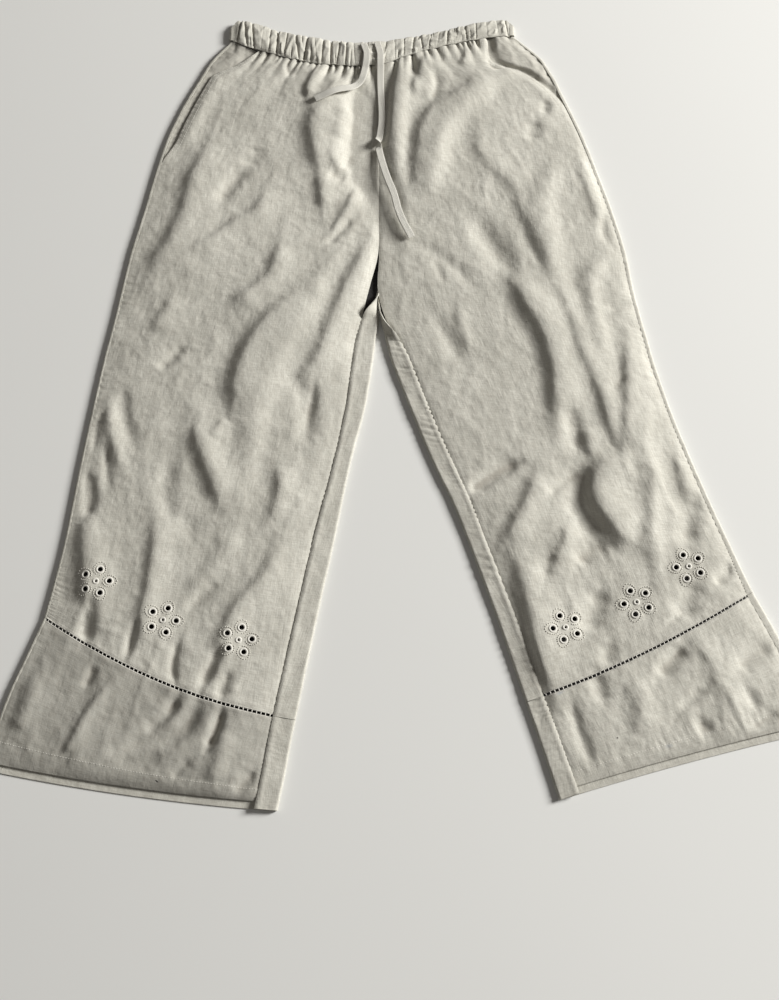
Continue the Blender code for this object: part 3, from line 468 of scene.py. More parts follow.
@dataclass(frozen=True)
class Fold:
    """One crease: its kind, height, half width, reach of the long slope and line.

    Its line is followed in steps. It runs out past its ends, and its height tapers over a share of its
    length there.
    """

    kind: FoldKind
    height: float
    width: float
    reach: float
    line: tuple
    step: float = 7.0
    run_out: float = 14.0
    end_share: float = 0.25

    def rise(self, x: np.ndarray, y: np.ndarray) -> np.ndarray:
        """Return the height that the fold adds at each point."""
        path = even_path(self.line, self.step)
        margin = 3.0 * self.width + 3.2 * self.reach + 6.0
        low, high = path.min(axis=0) - margin, path.max(axis=0) + margin
        near = (x > low[0]) & (x < high[0]) & (y > low[1]) & (y < high[1])
        result = np.zeros_like(x)
        if near.any():
            result[near] = FOLD_LIFT * self.height * self._shape(x[near], y[near], path)
        return result

    def _shape(self, x: np.ndarray, y: np.ndarray, path: np.ndarray) -> np.ndarray:
        """Return the fold's unit shape at points near its line."""
        best = np.full(x.shape, 1e9)
        reach, side, past = np.zeros_like(x), np.zeros_like(x), np.zeros_like(x)
        last = len(path) - 2
        for i, (a, b) in enumerate(zip(path[:-1], path[1:])):
            length = math.hypot(*(b - a))
            along = (b - a) / length
            u = (x - a[0]) * along[0] + (y - a[1]) * along[1]
            across = along[0] * (y - a[1]) - along[1] * (x - a[0])
            inside = np.clip(u, 0.0, length)
            away = np.hypot(across, u - inside)
            near = away < best
            end = ((i == 0) & (u < 0.0)) | ((i == last) & (u > length))
            best = np.where(near, away, best)
            reach = np.where(near, (i + inside / length) / (last + 1), reach)
            side = np.where(near, np.where(end, across, np.sign(across) * away), side)
            past = np.where(near, np.where(end, np.abs(u - inside), 0.0), past)
        taper = 0.25 + 0.75 * smooth(reach / self.end_share) * smooth((1.0 - reach) / self.end_share)
        if self.kind is FoldKind.SOFT:
            return taper * fade(best, self.width * (0.7 + 0.3 * taper), 2)
        down = np.maximum(side, 0.0)
        face = 0.5 * (1.0 + np.tanh(side / (0.75 * self.width)))
        slope = np.exp(-0.9 * down / self.reach - (down / (2.2 * self.reach)) ** 2)
        return taper * face * slope * fade(past, self.run_out, 2)


def folds_of(table: tuple) -> list:
    """Return the folds that a table lists."""
    rows = [dict(zip(FOLD_COLUMNS, row)) for row in table]
    return [Fold(**{**row, "kind": FoldKind(row["kind"])}) for row in rows]


class Sections:
    """The lines across one leg or hem band at fine steps, read from its table."""

    def __init__(
        self, table: tuple, step: float, skip_start: float = 0.0, skip_end: float = 0.0, drop: float = 0.0
    ) -> None:
        """Read the table.

        Args:
            table: The lines, waist to hem, in the order of SECTION_COLUMNS.
            step: Distance between two fine lines.
            skip_start: How far below the first line the cloth starts.
            skip_end: How far above the last line it ends.
            drop: How far past the last line it goes on.
        """
        columns = {name: np.array(values, float) for name, values in zip(SECTION_COLUMNS, zip(*table))}
        spans = 0.5 * sum(np.hypot(np.diff(columns[e + "x"]), np.diff(columns[e + "y"])) for e in "oi")
        at = [0.0]
        for i, span in enumerate(spans):
            count = max(1, round(span / step))
            at += [i + (k + 1) / count for k in range(count)]
        first, last = skip_start / spans[0], len(spans) - skip_end / spans[-1]
        at = first + np.array(at) * (last - first) / len(spans)
        knots = np.arange(len(spans) + 1)
        self.rows = {name: through(knots, columns[name], at) for name in SECTION_COLUMNS[:-1]}
        self.rows["curl"] = np.interp(at, knots, columns["curl"])
        if drop:
            self._extend(drop, 4)
        self.side = np.sign(self.rows["ix"][0] - self.rows["ox"][0])
        x, y = (self.rows["o" + c] + self.rows["i" + c] for c in "xy")
        self.run = 0.5 * run_along(x, y)

    def _extend(self, drop: float, count: int) -> None:
        """Carry the last line on along both edges."""
        ways = {}
        for end in "oi":
            x, y = self.rows[end + "x"], self.rows[end + "y"]
            way = np.array([x[-1] - x[-2], y[-1] - y[-2]])
            ways[end + "x"], ways[end + "y"] = way / np.linalg.norm(way)
        for name, row in self.rows.items():
            more = row[-1] + ways.get(name, 0.0) * drop * np.arange(1, count + 1) / count
            self.rows[name] = np.concatenate([row, more])

    def line(self, x: np.ndarray) -> np.ndarray:
        """Return y on each line at the given x."""
        r = self.rows
        share = (x - r["ox"][:, None]) / (r["ix"] - r["ox"])[:, None]
        return sagging(r["oy"][:, None], r["iy"][:, None], r["sag"][:, None], share)

    def front_grid(self, columns: int, edge_o: np.ndarray = None, edge_i: np.ndarray = None) -> tuple:
        """Return x and y over the front cloth, outer edge first, or at other distances from the edges."""
        r = self.rows
        start = r["ox"] + self.side * (r["front_o"] if edge_o is None else edge_o)
        end = r["ix"] - self.side * (r["front_i"] if edge_i is None else edge_i)
        share = np.linspace(0.0, 1.0, columns)[None, :]
        x = start[:, None] * (1.0 - share) + end[:, None] * share
        return x, self.line(x)


def waist_line(x: np.ndarray) -> np.ndarray:
    """Return y of the seam under the casing."""
    result = np.zeros_like(x)
    for row, here in ((RIGHT_LEG[0], x <= 0.0), (LEFT_LEG[0], x > 0.0)):
        share = (x - row[0]) / (row[2] - row[0])
        result = np.where(here, sagging(row[1], row[3], row[4], share), result)
    return result


@dataclass(frozen=True)
class Gather:
    """One crease that the elastic draws in.

    It has a place, a slant, a depth, a half width and its extent down the casing. Below the seam it has a
    depth (tail), a length (below) and a lean.
    """

    place: float
    slant: float
    depth: float
    width: float
    start: float
    end: float
    tail: float
    below: float
    lean: float


# Where creases start and end down the casing, from 0 at its upper edge to 1 at the seam
WHOLE_CREASE = (-0.3, 1.3)
PART_CREASES = ((-0.3, 0.4), (0.5, 1.3), (-0.3, 0.7), (0.3, 1.3))
LEAST_CREASE = 0.12  # a finer crease less deep than this is left out


def gathers_of(places: tuple, seed: int) -> list:
    """Return the main creases, and finer ones between them that cross only part of the casing."""
    pick = np.random.default_rng(seed).uniform
    found = []
    for place, after in zip(places, (*places[1:], places[-1] + 9.0)):
        lean = 0.0022 * place + pick(-0.15, 0.15)
        depth, tail, below = 0.12 + 1.5 * pick(0.0, 1.0) ** 2.0, pick(0.1, 1.5), pick(8.0, 38.0)
        slant, width = pick(-4.5, 4.5), pick(0.7, 1.2)
        found.append(Gather(place, slant, depth, width, *WHOLE_CREASE, tail, below, lean))
        middle = place + (after - place) * pick(0.3, 0.7)
        part = PART_CREASES[int(pick(0.0, 3.99))]
        depth = pick(-0.2, 0.6)
        if depth > LEAST_CREASE:
            slant, width = pick(-2.4, 2.4), pick(0.6, 0.9)
            found.append(Gather(middle, slant, depth, width, *part, 0.6, pick(3.0, 8.0), lean))
    return found


def gather_depth(x: np.ndarray, share: np.ndarray, gathers: list) -> np.ndarray:
    """Return how deep the creases of the casing are, about 1 in a main one.

    Args:
        x: Places across, in millimetres.
        share: Places down the casing, from 0 at its upper edge to 1 at the seam.
        gathers: The creases.

    Returns:
        The depth at each place.
    """
    total = np.zeros(np.broadcast(x, share).shape)
    for g in gathers:
        away = np.abs(x - g.place - g.slant * (share - 0.5)) / g.width
        part = smooth((share - g.start) / 0.25) * smooth((g.end - share) / 0.25)
        total = np.maximum(total, g.depth * part * fade(away, 1.0, 1.25))
    return total


def gather_tails(x: np.ndarray, below: np.ndarray, gathers: list) -> np.ndarray:
    """Return how deep the same creases are in the cloth at a distance below the seam."""
    total = np.zeros(np.broadcast(x, below).shape)
    for g in gathers:
        away = np.abs(x - g.place - 0.5 * g.slant - g.lean * below) / (g.width + 0.7 + 0.17 * below)
        crosses = smooth((g.end - 0.9) / 0.2)
        total = np.maximum(total, g.tail * crosses * fade(away, 1.0, 1.4) * fade(below, g.below, 1.5))
    return total


def puckers(
    run: np.ndarray, gap: np.ndarray, height: float, pitch: float, reach: float, seed: int
) -> np.ndarray:
    """Return uneven ripples beside a seam, which die away from it.

    Args:
        run: Distances along the seam.
        gap: Distances from the seam.
        height: Height of the strongest ripple.
        pitch: Distance from one ripple to the next.
        reach: How far from the seam they reach.
        seed: Which ripples they are.

    Returns:
        The relief at each place.
    """
    shift = 0.9 * crumple(run, gap, 31.0, seed)
    strength = 0.35 + 0.65 * smooth(0.5 + crumple(run, 0.0 * run, 23.0, seed + 1))
    lean = 0.22 * gap * np.sign(crumple(run, 0.0 * run, 47.0, seed + 2))
    ripple = strength * np.sin(2.0 * math.pi * ((run + lean) / pitch + shift))
    return height * ripple * fade(gap, reach, 1.5)


def to_metres(points: np.ndarray) -> np.ndarray:
    """Return table points in metres from the middle of the outline."""
    return (points - (CENTRE_X, CENTRE_Y, 0.0)) * MM


def normals_of(points: np.ndarray) -> np.ndarray:
    """Return unit normals over a grid of points."""
    normal = np.cross(np.gradient(points, axis=1), np.gradient(points, axis=0))
    return normal / np.linalg.norm(normal, axis=2, keepdims=True)


def make_piece(
    name: str, vertices: np.ndarray, faces: list, material: Material, attributes: dict = None,
    sharp: float = 62.0,
) -> Thing:
    """Make an object from vertices in metres.

    Args:
        name: Name of the piece.
        vertices: Places of the vertices.
        faces: Rows of vertex numbers.
        material: The piece's finish.
        attributes: Values for each vertex by attribute name, plain numbers or vectors.
        sharp: Least turn of a sharp edge, in degrees.

    Returns:
        The new object, smooth shaded except at sharp edges.
    """
    mesh = bpy.data.meshes.new(name)
    mesh.from_pydata(vertices.tolist(), [], faces.tolist() if isinstance(faces, np.ndarray) else faces)
    mesh.update()
    for key, values in (attributes or {}).items():
        flat = np.asarray(values, np.float32)
        kind, slot = ("FLOAT", "value") if flat.ndim == 1 else ("FLOAT_VECTOR", "vector")
        mesh.attributes.new(key, kind, "POINT").data.foreach_set(slot, flat.ravel())
    mesh.shade_smooth()
    mesh.set_sharp_from_angle(angle=math.radians(sharp))
    mesh.materials.append(material)
    piece = bpy.data.objects.new(name, mesh)
    bpy.context.scene.collection.objects.link(piece)
    return piece


def cloth_piece(
    name: str, middle: np.ndarray, wall: np.ndarray, material: Material, cut: np.ndarray, painted_shade: tuple,
    face_up: bool = False,
) -> Thing:
    """Make one closed piece of cloth from a grid of points on its middle surface.

    Args:
        name: Name of the piece.
        middle: Grid of points in table millimetres.
        wall: Thickness of the cloth, one number or one for each point.
        material: The cloth's finish.
        cut: Where each point lies on the flat cut, for the weave.
        painted_shade: How much painted shade each point gets, from 0 to 1 by how deep in a fold it lies and
            up to INSIDE_SHADE for the near black painted shadow, on the first side and on the other.
        face_up: Whether the first side is the upper one, whichever way the grid runs.

    Returns:
        The new object.
    """
    rows, columns = middle.shape[:2]
    half = 0.5 * np.broadcast_to(np.asarray(wall, float), (rows, columns))[..., None] * normals_of(middle)
    if face_up and half[rows // 2, columns // 2, 2] < 0.0:
        half = -half
    count = rows * columns
    index = np.arange(count).reshape(rows, columns)
    a, b, c, d = index[:-1, :-1], index[1:, :-1], index[1:, 1:], index[:-1, 1:]
    top = np.stack([a, b, c, d], axis=-1).reshape(-1, 4)
    rim = np.concatenate([index[0, :-1], index[:-1, -1], index[-1, :0:-1], index[:0:-1, 0]])
    inner = np.concatenate([index[1, :-1], index[:-1, -2], index[-2, :0:-1], index[:0:-1, 1]])
    flat = middle.reshape(-1, 3)
    out = flat[rim] - flat[inner]
    out /= np.linalg.norm(out, axis=1, keepdims=True)
    edge = flat[rim] + EDGE_ROUND * out
    points = np.concatenate([(middle + half).reshape(-1, 3), (middle - half).reshape(-1, 3), edge])
    middle_rim = 2 * count + np.arange(len(rim))
    following, middle_following = np.roll(rim, -1), np.roll(middle_rim, -1)
    faces = np.concatenate([
        top,
        top[:, ::-1] + count,
        np.stack([rim, following, middle_following, middle_rim], axis=-1),
        np.stack([middle_rim, middle_following, following + count, rim + count], axis=-1),
    ])
    corners = points[faces]
    crossed = np.cross(corners[:, 2] - corners[:, 0], corners[:, 3] - corners[:, 1])
    if ((corners.mean(axis=1) - points.mean(axis=0)) * crossed).sum() < 0.0:
        faces = faces[:, ::-1]
    place = np.concatenate([cut.reshape(-1, 2)] * 2 + [cut.reshape(-1, 2)[rim]]) * MM
    place = np.concatenate([place, np.zeros((len(place), 1))], axis=1)
    # painted shade for each vertex; the rim takes the lesser of its two sides
    near, far = (np.zeros(count) if side is None else np.ravel(side) for side in painted_shade)
    deep = np.concatenate([near, far, np.minimum(near, far)[rim]])
    return make_piece(name, to_metres(points), faces, material, {"cut": place, "painted_shade": deep})


def area_of(middle: np.ndarray) -> float:
    """Return the area of a grid in square metres."""
    a, b, c, d = middle[:-1, :-1], middle[1:, :-1], middle[1:, 1:], middle[:-1, 1:]
    return float(np.linalg.norm(np.cross(c - a, d - b), axis=-1).sum() * 0.5 * MM * MM)


class Rest:
    """The cloth already made, for laying small things on it."""

    def __init__(self) -> None:
        """Start with no cloth."""
        self.trees = []

    def add(self, piece: Thing) -> None:
        """Add a finished piece."""
        mesh = piece.data
        places = np.empty(len(mesh.vertices) * 3, np.float32)
        mesh.vertices.foreach_get("co", places)
        faces = [face.vertices[:] for face in mesh.polygons]
        self.trees.append(BVHTree.FromPolygons(places.reshape(-1, 3).tolist(), faces))

    def top(self, x: float, y: float) -> tuple:
        """Return the highest cloth over a place, as its height in millimetres and its normal."""
        start = Vector(((x - CENTRE_X) * MM, (y - CENTRE_Y) * MM, 0.1))
        best, facing = 0.0, Vector((0.0, 0.0, 1.0))
        for tree in self.trees:
            place, normal, _, _ = tree.ray_cast(start, Vector((0.0, 0.0, -1.0)))
            if place is not None and place.z / MM > best:
                best, facing = place.z / MM, normal if normal.z > 0.0 else -normal
        return best, facing


def grain_form() -> tuple:
    """Return the vertices and faces of a small rounded grain of unit half length, width and height."""
    sides, stations = 6, ((-0.62, 0.78), (0.0, 1.0), (0.62, 0.78))
    points = [(-1.0, 0.0, 0.0)]
    for along, size in stations:
        points += [(along, *place) for place in circle(sides, size)]
    points.append((1.0, 0.0, 0.0))
    faces = [(0, 1 + (k + 1) % sides, 1 + k) for k in range(sides)]
    for ring in range(len(stations) - 1):
        a = 1 + ring * sides
        for k in range(sides):
            n = (k + 1) % sides
            faces += [(a + k, a + n, a + sides + n), (a + k, a + sides + n, a + sides + k)]
    last, a = len(points) - 1, 1 + (len(stations) - 1) * sides
    faces += [(last, a + k, a + (k + 1) % sides) for k in range(sides)]
    return np.array(points), np.array(faces)


def ring_form(radius: float, thick: float) -> tuple:
    """Return an embroidered ring, its thread lying across it in ridges."""
    around, section = 30, 6
    points, faces = [], []
    for i, (along, aside) in enumerate(circle(around)):
        size = thick * (1.0 if i % 2 else 0.84)
        for j, (wide, high) in enumerate(circle(section, size)):
            out = radius + 1.15 * wide
            points.append((out * along, out * aside, 0.8 * high))
            a, b = i * section + j, i * section + (j + 1) % section
            c, d = ((i + 1) % around) * section + (j + 1) % section, ((i + 1) % around) * section + j
            faces += [(a, d, c), (a, c, b)]
    return np.array(points), np.array(faces)


class Laid:
    """Many small things of one finish, set on the cloth and joined into one piece."""

    def __init__(self, rest: Rest) -> None:
        """Start an empty piece that lies on the given cloth."""
        self.rest, self.points, self.faces, self.count = rest, [], [], 0

    def add(self, form: tuple, place: tuple, across: tuple, facing: tuple, scale: tuple) -> None:
        """Add one form.

        Args:
            form: Its vertices and faces.
            place: Its middle, in table millimetres.
            across: The way of its first axis.
            facing: The way of its third axis, up from the cloth.
            scale: Its size along its three axes.
        """
        facing = np.asarray(facing, float) / np.linalg.norm(facing)
        first = np.asarray(across, float)
        first = first - facing * first.dot(facing)
        first /= np.linalg.norm(first)
        frame = np.stack([first, np.cross(facing, first), facing])
        vertices, faces = form
        self.points.append((vertices * np.asarray(scale, float)) @ frame + np.asarray(place, float))
        self.faces.append(faces + self.count)
        self.count += len(vertices)

    def stitch(self, x: float, y: float, way: tuple, size: tuple, lift: float = 0.1) -> None:
        """Lay one stitch of the given half length, half width and half height."""
        height, facing = self.rest.top(x, y)
        self.add(GRAIN, (x, y, height + lift), (way[0], way[1], 0.0), facing, size)

    def row(self, path: np.ndarray, pitch: float, size: tuple, lift: float = 0.1) -> None:
        """Lay a line of stitches along a path."""
        line = even_path(path, pitch)
        ways = np.gradient(line, axis=0)
        for (x, y), way in zip(line, ways):
            self.stitch(x, y, way, size, lift)

    def piece(self, name: str, material: Material) -> Thing:
        """Join what was laid into one object."""
        points, faces = np.concatenate(self.points), np.concatenate(self.faces)
        return make_piece(name, to_metres(points), faces, material)


GRAIN = grain_form()
CASING_GATHERS = gathers_of(GATHERS, 5)


class Reading:
    """A number from a shader socket that can be used in Python sums."""

    def __init__(self, shades: "Shades", socket: Socket) -> None:
        """Wrap a socket."""
        self.shades, self.socket = shades, socket

    def _sum(self, operation: str, first: "Reading | float", second: "Reading | float") -> "Reading":
        """Add one Math node."""
        made = self.shades.node("ShaderNodeMath", {"operation": operation}, {0: first, 1: second})
        return Reading(self.shades, made.outputs[0])

    def __add__(self, other: "Reading | float") -> "Reading":
        """Return this plus another."""
        return self._sum("ADD", self, other)

    def __rsub__(self, other: "Reading | float") -> "Reading":
        """Return another less this."""
        return self._sum("SUBTRACT", other, self)

    def __mul__(self, other: "Reading | float") -> "Reading":
        """Return this times another."""
        return self._sum("MULTIPLY", self, other)

    def __rmul__(self, other: "Reading | float") -> "Reading":
        """Return another times this."""
        return self._sum("MULTIPLY", other, self)

    def between(self, low: float, high: float) -> "Reading":
        """Return 0 at low, 1 at high and a soft step between."""
        sockets = {"Value": self, "From Min": low, "From Max": high}
        made = self.shades.node("ShaderNodeMapRange", {"interpolation_type": "SMOOTHSTEP"}, sockets)
        return Reading(self.shades, made.outputs[0])


class Shades:
    """The nodes of one material."""

    def __init__(self, name: str) -> None:
        """Start a material with its shader."""
        self.material = bpy.data.materials.new(name)
        self.material.use_nodes = True
        self.tree = self.material.node_tree
        self.shader = self.tree.nodes["Principled BSDF"]

    def node(self, kind: str, settings: dict = None, sockets: dict = None) -> Node:
        """Add any node.

        Args:
            kind: The node's type.
            settings: Its own properties, which are set first.
            sockets: Values or links of its inputs, by name or number.

        Returns:
            The new node.
        """
        made = self.tree.nodes.new(kind)
        for key, value in (settings or {}).items():
            setattr(made, key, value)
        for key, value in (sockets or {}).items():
            self.set(made.inputs[key], value)
        return made

    def set(self, socket: Socket, value: object) -> None:
        """Give a socket a value or a link."""
        value = value.socket if isinstance(value, Reading) else value
        if isinstance(value, bpy.types.NodeSocket):
            self.tree.links.new(value, socket)
        else:
            socket.default_value = (*value, 1.0) if socket.type == "RGBA" else value

    def attribute(self, name: str) -> Node:
        """Return the node that reads an attribute of the mesh."""
        return self.node("ShaderNodeAttribute", {"attribute_name": name})

    def stretched(self, place: Socket, scale: tuple) -> Socket:
        """Return a place scaled along each axis."""
        made = self.node("ShaderNodeVectorMath", {"operation": "MULTIPLY"}, {0: place, 1: scale})
        return made.outputs[0]

    def noise(self, place: Socket, scale: float, detail: float = 2.0, rough: float = 0.5) -> Reading:
        """Return even noise around 0.5."""
        sockets = {"Vector": place, "Scale": scale, "Detail": detail, "Roughness": rough}
        return Reading(self, self.node("ShaderNodeTexNoise", {}, sockets).outputs[0])

    def mix(self, mask: Reading, first: tuple, second: tuple) -> Socket:
        """Return a colour between two, by a mask."""
        made = self.node("ShaderNodeMix", {"data_type": "RGBA"})
        for key, value in ((0, mask), (6, first), (7, second)):
            self.set(made.inputs[key], value)
        return made.outputs[2]

    def blob(self, place: Socket, middle: tuple, radius: tuple, soft: float, turn: float) -> Reading:
        """Return 1 inside a small oval on the cloth and 0 outside.

        Args:
            place: The places on the object, in metres.
            middle: The oval's middle, in table millimetres.
            radius: Its half width and half length, in millimetres.
            soft: Share of the radius over which it fades.
            turn: How far it is turned, in degrees.

        Returns:
            The mask.
        """
        at = ((middle[0] - CENTRE_X) * MM, (middle[1] - CENTRE_Y) * MM, 0.0)
        moved = self.node("ShaderNodeVectorMath", {"operation": "SUBTRACT"}, {0: place, 1: at}).outputs[0]
        angle = {"Vector": moved, "Angle": -math.radians(turn)}
        turned = self.node("ShaderNodeVectorRotate", {"rotation_type": "Z_AXIS"}, angle)
        scaled = self.stretched(turned.outputs[0], (1.0 / (radius[0] * MM), 1.0 / (radius[1] * MM), 0.0))
        length = self.node("ShaderNodeVectorMath", {"operation": "LENGTH"}, {0: scaled})
        return 1.0 - Reading(self, length.outputs[1]).between(1.0 - soft, 1.0)

    def bump(self, height: Reading, distance: float, strength: float, under: Socket = None) -> Socket:
        """Return a normal from a height."""
        sockets = {"Height": height, "Distance": distance, "Strength": strength}
        if under is not None:
            sockets["Normal"] = under
        return self.node("ShaderNodeBump", {}, sockets).outputs[0]

    def finish(
        self, colour: Socket, roughness: float, normal: Socket = None, sheen: float = 0.0
    ) -> Material:
        """Connect the shader and return the material."""
        self.set(self.shader.inputs["Base Color"], colour)
        self.shader.inputs["Roughness"].default_value = roughness
        self.shader.inputs["Sheen Weight"].default_value = sheen
        self.shader.inputs["Specular IOR Level"].default_value = 0.25
        if normal is not None:
            self.set(self.shader.inputs["Normal"], normal)
        return self.material


@dataclass(frozen=True)
class Stain:
    """A small mark on the cloth: its middle, half sizes, turn, softness, colour and strength."""

    middle: tuple
    radius: tuple
    turn: float
    soft: float
    colour: tuple
    strength: float


BLUISH, DARK = (0.30, 0.36, 0.46), (0.035, 0.032, 0.03)
STAINS = (
    Stain((184.0, -504.0), (6.0, 3.0), 25.0, 0.9, BLUISH, 0.28),
    Stain((291.0, -558.0), (5.0, 3.0), 10.0, 0.9, BLUISH, 0.26),
    Stain((240.0, -550.0), (1.0, 0.9), 0.0, 0.3, DARK, 0.9),
    Stain((-219.0, -593.0), (2.2, 0.7), -35.0, 0.3, DARK, 0.95),
    Stain((-108.0, 178.0), (1.1, 0.9), 0.0, 0.5, DARK, 0.5),
    Stain((163.0, -88.0), (0.9, 0.9), 0.0, 0.5, DARK, 0.45),
    Stain((234.0, -112.0), (1.3, 1.0), 20.0, 0.5, DARK, 0.45),
)


@dataclass(frozen=True)
class ClothFinish:
    """Plain slubby linen-look cloth, with painted shade in the hollows of folds and a near black painted
    shadow where only the inside of the back cloth shows.
    """

    name: str
    colour: tuple = (0.545, 0.533, 0.474)
    faded: tuple = (0.625, 0.612, 0.548)
    # colour of the painted shade in folds, which also darkens the threads of the weave
    deep: tuple = (0.31, 0.28, 0.235)
    # near black painted shadow on the inside of the back cloth
    painted_inside_shadow: tuple = (0.035, 0.033, 0.032)
    stained: bool = False
    # below 1 makes a darker copy of the cloth that paints shade
    painted_shade_scale: float = 1.0
    thread: float = 0.0009
    roughness: float = 0.93

    def material(self) -> Material:
        """Build the material."""
        shades = Shades(self.name)
        cut = shades.attribute("cut").outputs["Vector"]
        deep = Reading(shades, shades.attribute("painted_shade").outputs["Fac"])
        place = shades.node("ShaderNodeTexCoord").outputs["Object"]
        fine = 1.0 / self.thread
        warp = shades.noise(shades.stretched(cut, (fine, fine / 14.0, 1.0)), 1.0, 3.0, 0.6)
        weft = shades.noise(shades.stretched(cut, (fine / 14.0, fine, 1.0)), 1.0, 3.0, 0.6)
        slub = shades.noise(shades.stretched(cut, (fine / 3.0, fine / 60.0, 1.0)), 1.0, 2.0)
        weave = 0.5 * warp + 0.5 * weft
        wash = shades.noise(place, 22.0, 3.0, 0.5)
        plain, faded = (tuple(self.painted_shade_scale * c for c in tone) for tone in (self.colour, self.faded))
        colour = shades.mix(wash.between(0.32, 0.70), plain, faded)
        colour = shades.mix(weave.between(0.38, 0.64) * 0.42, colour, self.deep)
        colour = shades.mix(slub.between(0.60, 0.75) * 0.22, colour, faded)
        # painted shade: the deeper in a fold, the nearer the deep colour; past 1.2 the cloth is painted
        # near black as shadow
        colour = shades.mix(deep.between(0.0, 1.0) * 0.56, colour, self.deep)
        colour = shades.mix(deep.between(1.2, 2.8), colour, self.painted_inside_shadow)
        for stain in STAINS if self.stained else ():
            mask = shades.blob(place, stain.middle, stain.radius, stain.soft, stain.turn)
            colour = shades.mix(mask * stain.strength, colour, stain.colour)
        creases = shades.noise(place, 60.0, 3.0, 0.5)
        normal = shades.bump(creases, 0.003, 0.5)
        normal = shades.bump(weave + 0.35 * slub, 0.0005, 0.8, normal)
        return shades.finish(colour, self.roughness, normal, 0.12)


@dataclass(frozen=True)
class ThreadFinish:
    """Sewing and embroidery thread."""

    name: str
    colour: tuple = (0.72, 0.7, 0.645)
    dark: tuple = (0.64, 0.62, 0.565)
    roughness: float = 0.8

    def material(self) -> Material:
        """Build the material."""
        shades = Shades(self.name)
        place = shades.node("ShaderNodeTexCoord").outputs["Object"]
        strand = shades.noise(place, 1900.0, 2.0)
        colour = shades.mix(strand.between(0.35, 0.65), self.dark, self.colour)
        return shades.finish(colour, self.roughness, shades.bump(strand, 0.0003, 0.7), 0.1)


@dataclass(frozen=True)
class TapeFinish:
    """Flat woven tape, ribbed along its length."""

    name: str
    colour: tuple = (0.73, 0.715, 0.655)
    dark: tuple = (0.58, 0.56, 0.50)
    rib: float = 0.0009
    roughness: float = 0.88

    def material(self) -> Material:
        """Build the material."""
        shades = Shades(self.name)
        cut = shades.attribute("cut").outputs["Vector"]
        place = shades.node("ShaderNodeTexCoord").outputs["Object"]
        settings = {"wave_type": "BANDS", "bands_direction": "X"}
        ribbed = shades.stretched(cut, (1.0 / self.rib, 1.0, 1.0))
        sockets = {"Vector": ribbed, "Scale": 0.32, "Distortion": 0.6}
        rib = Reading(shades, shades.node("ShaderNodeTexWave", settings, sockets).outputs["Fac"])
        fuzz = shades.noise(place, 1500.0, 3.0)
        colour = shades.mix(0.6 * rib + 0.4 * fuzz, self.dark, self.colour)
        return shades.finish(colour, self.roughness, shades.bump(rib + 0.5 * fuzz, 0.0004, 0.8), 0.1)


@dataclass(frozen=True)
class FloorFinish:
    """Plain pale floor."""

    name: str = "pale_floor"
    colour: tuple = (0.78, 0.78, 0.76)

    def material(self) -> Material:
        """Build the material."""
        shades = Shades(self.name)
        place = shades.node("ShaderNodeTexCoord").outputs["Object"]
        tone = shades.noise(place, 3.0, 2.0)
        colour = shades.mix(tone, self.colour, tuple(0.97 * c for c in self.colour))
        return shades.finish(colour, 0.9)


class Side(Enum):
    """The wearer's side."""

    RIGHT = "right"
    LEFT = "left"


@dataclass(frozen=True)
class LegShape:
    """How the cloth of one leg lies.

    The fine rumple runs on a slant. The inner edge is lifted or lowered under the turned-over strip, and
    the front rises from both edges over a reach. The strip has puckers and a lift of its own. The stitches
    of the pocket mouth end at a height.
    """

    seed: int
    slant: float
    strip: float
    reach_o: float
    reach_i: float
    back_seed: int
    strip_pucker: float
    strip_lift: float
    mouth_end: float


SHAPES = {
    Side.RIGHT: LegShape(11, 0.30, -0.4, 32.0, 15.0, 71, 0.35, 0.8, 128.0),
    Side.LEFT: LegShape(29, -0.30, 0.7, 11.0, 34.0, 83, 0.85, 1.0, 196.0),
}


@dataclass(frozen=True)
class Cut:
    """The flat cut of a piece of cloth that shows, in metres, what it lies on and its material slot."""

    width: float
    length: float
    area: float
    rests_on: str
    slot: str


def declare(piece: Thing, node: str, middle: np.ndarray) -> Thing:
    """Attach a piece of cloth to the trousers, hide the solid it stands for, log its area and face count,
    and return it.
    """
    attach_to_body(piece, BODY)
    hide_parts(node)
    LOG.info("%s: %.4f m2, %d faces", piece.name, area_of(middle), len(piece.data.polygons))
    return piece


def attach(piece: Thing) -> Thing:
    """Say that a small sewn piece rides with the trousers, and return it."""
    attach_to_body(piece, BODY)
    LOG.info("%s: %d faces", piece.name, len(piece.data.polygons))
    return piece


def seam_wave(x: np.ndarray) -> np.ndarray:
    """Return how far the seam under the casing strays from its line."""
    return 0.9 * crumple(x, 0.0 * x, 6.5, 91) + 0.5 * crumple(x, 0.0 * x, 17.0, 92)


def rolled_edge(gap: np.ndarray) -> np.ndarray:
    """Return the relief of the narrow rolled edge beside the openwork line."""
    return 0.35 * fade(gap - 2.0, 1.6, 2) - 0.3 * fade(gap, 0.8)


def petals_of(flower: tuple) -> list:
    """Return x, y and the way out for each petal of a flower."""
    x, y, turn = flower
    aims = [math.radians(turn + 360.0 / PETALS * petal) for petal in range(PETALS)]
    return [(x + PETAL_RING * math.cos(aim), y + PETAL_RING * math.sin(aim), aim) for aim in aims]


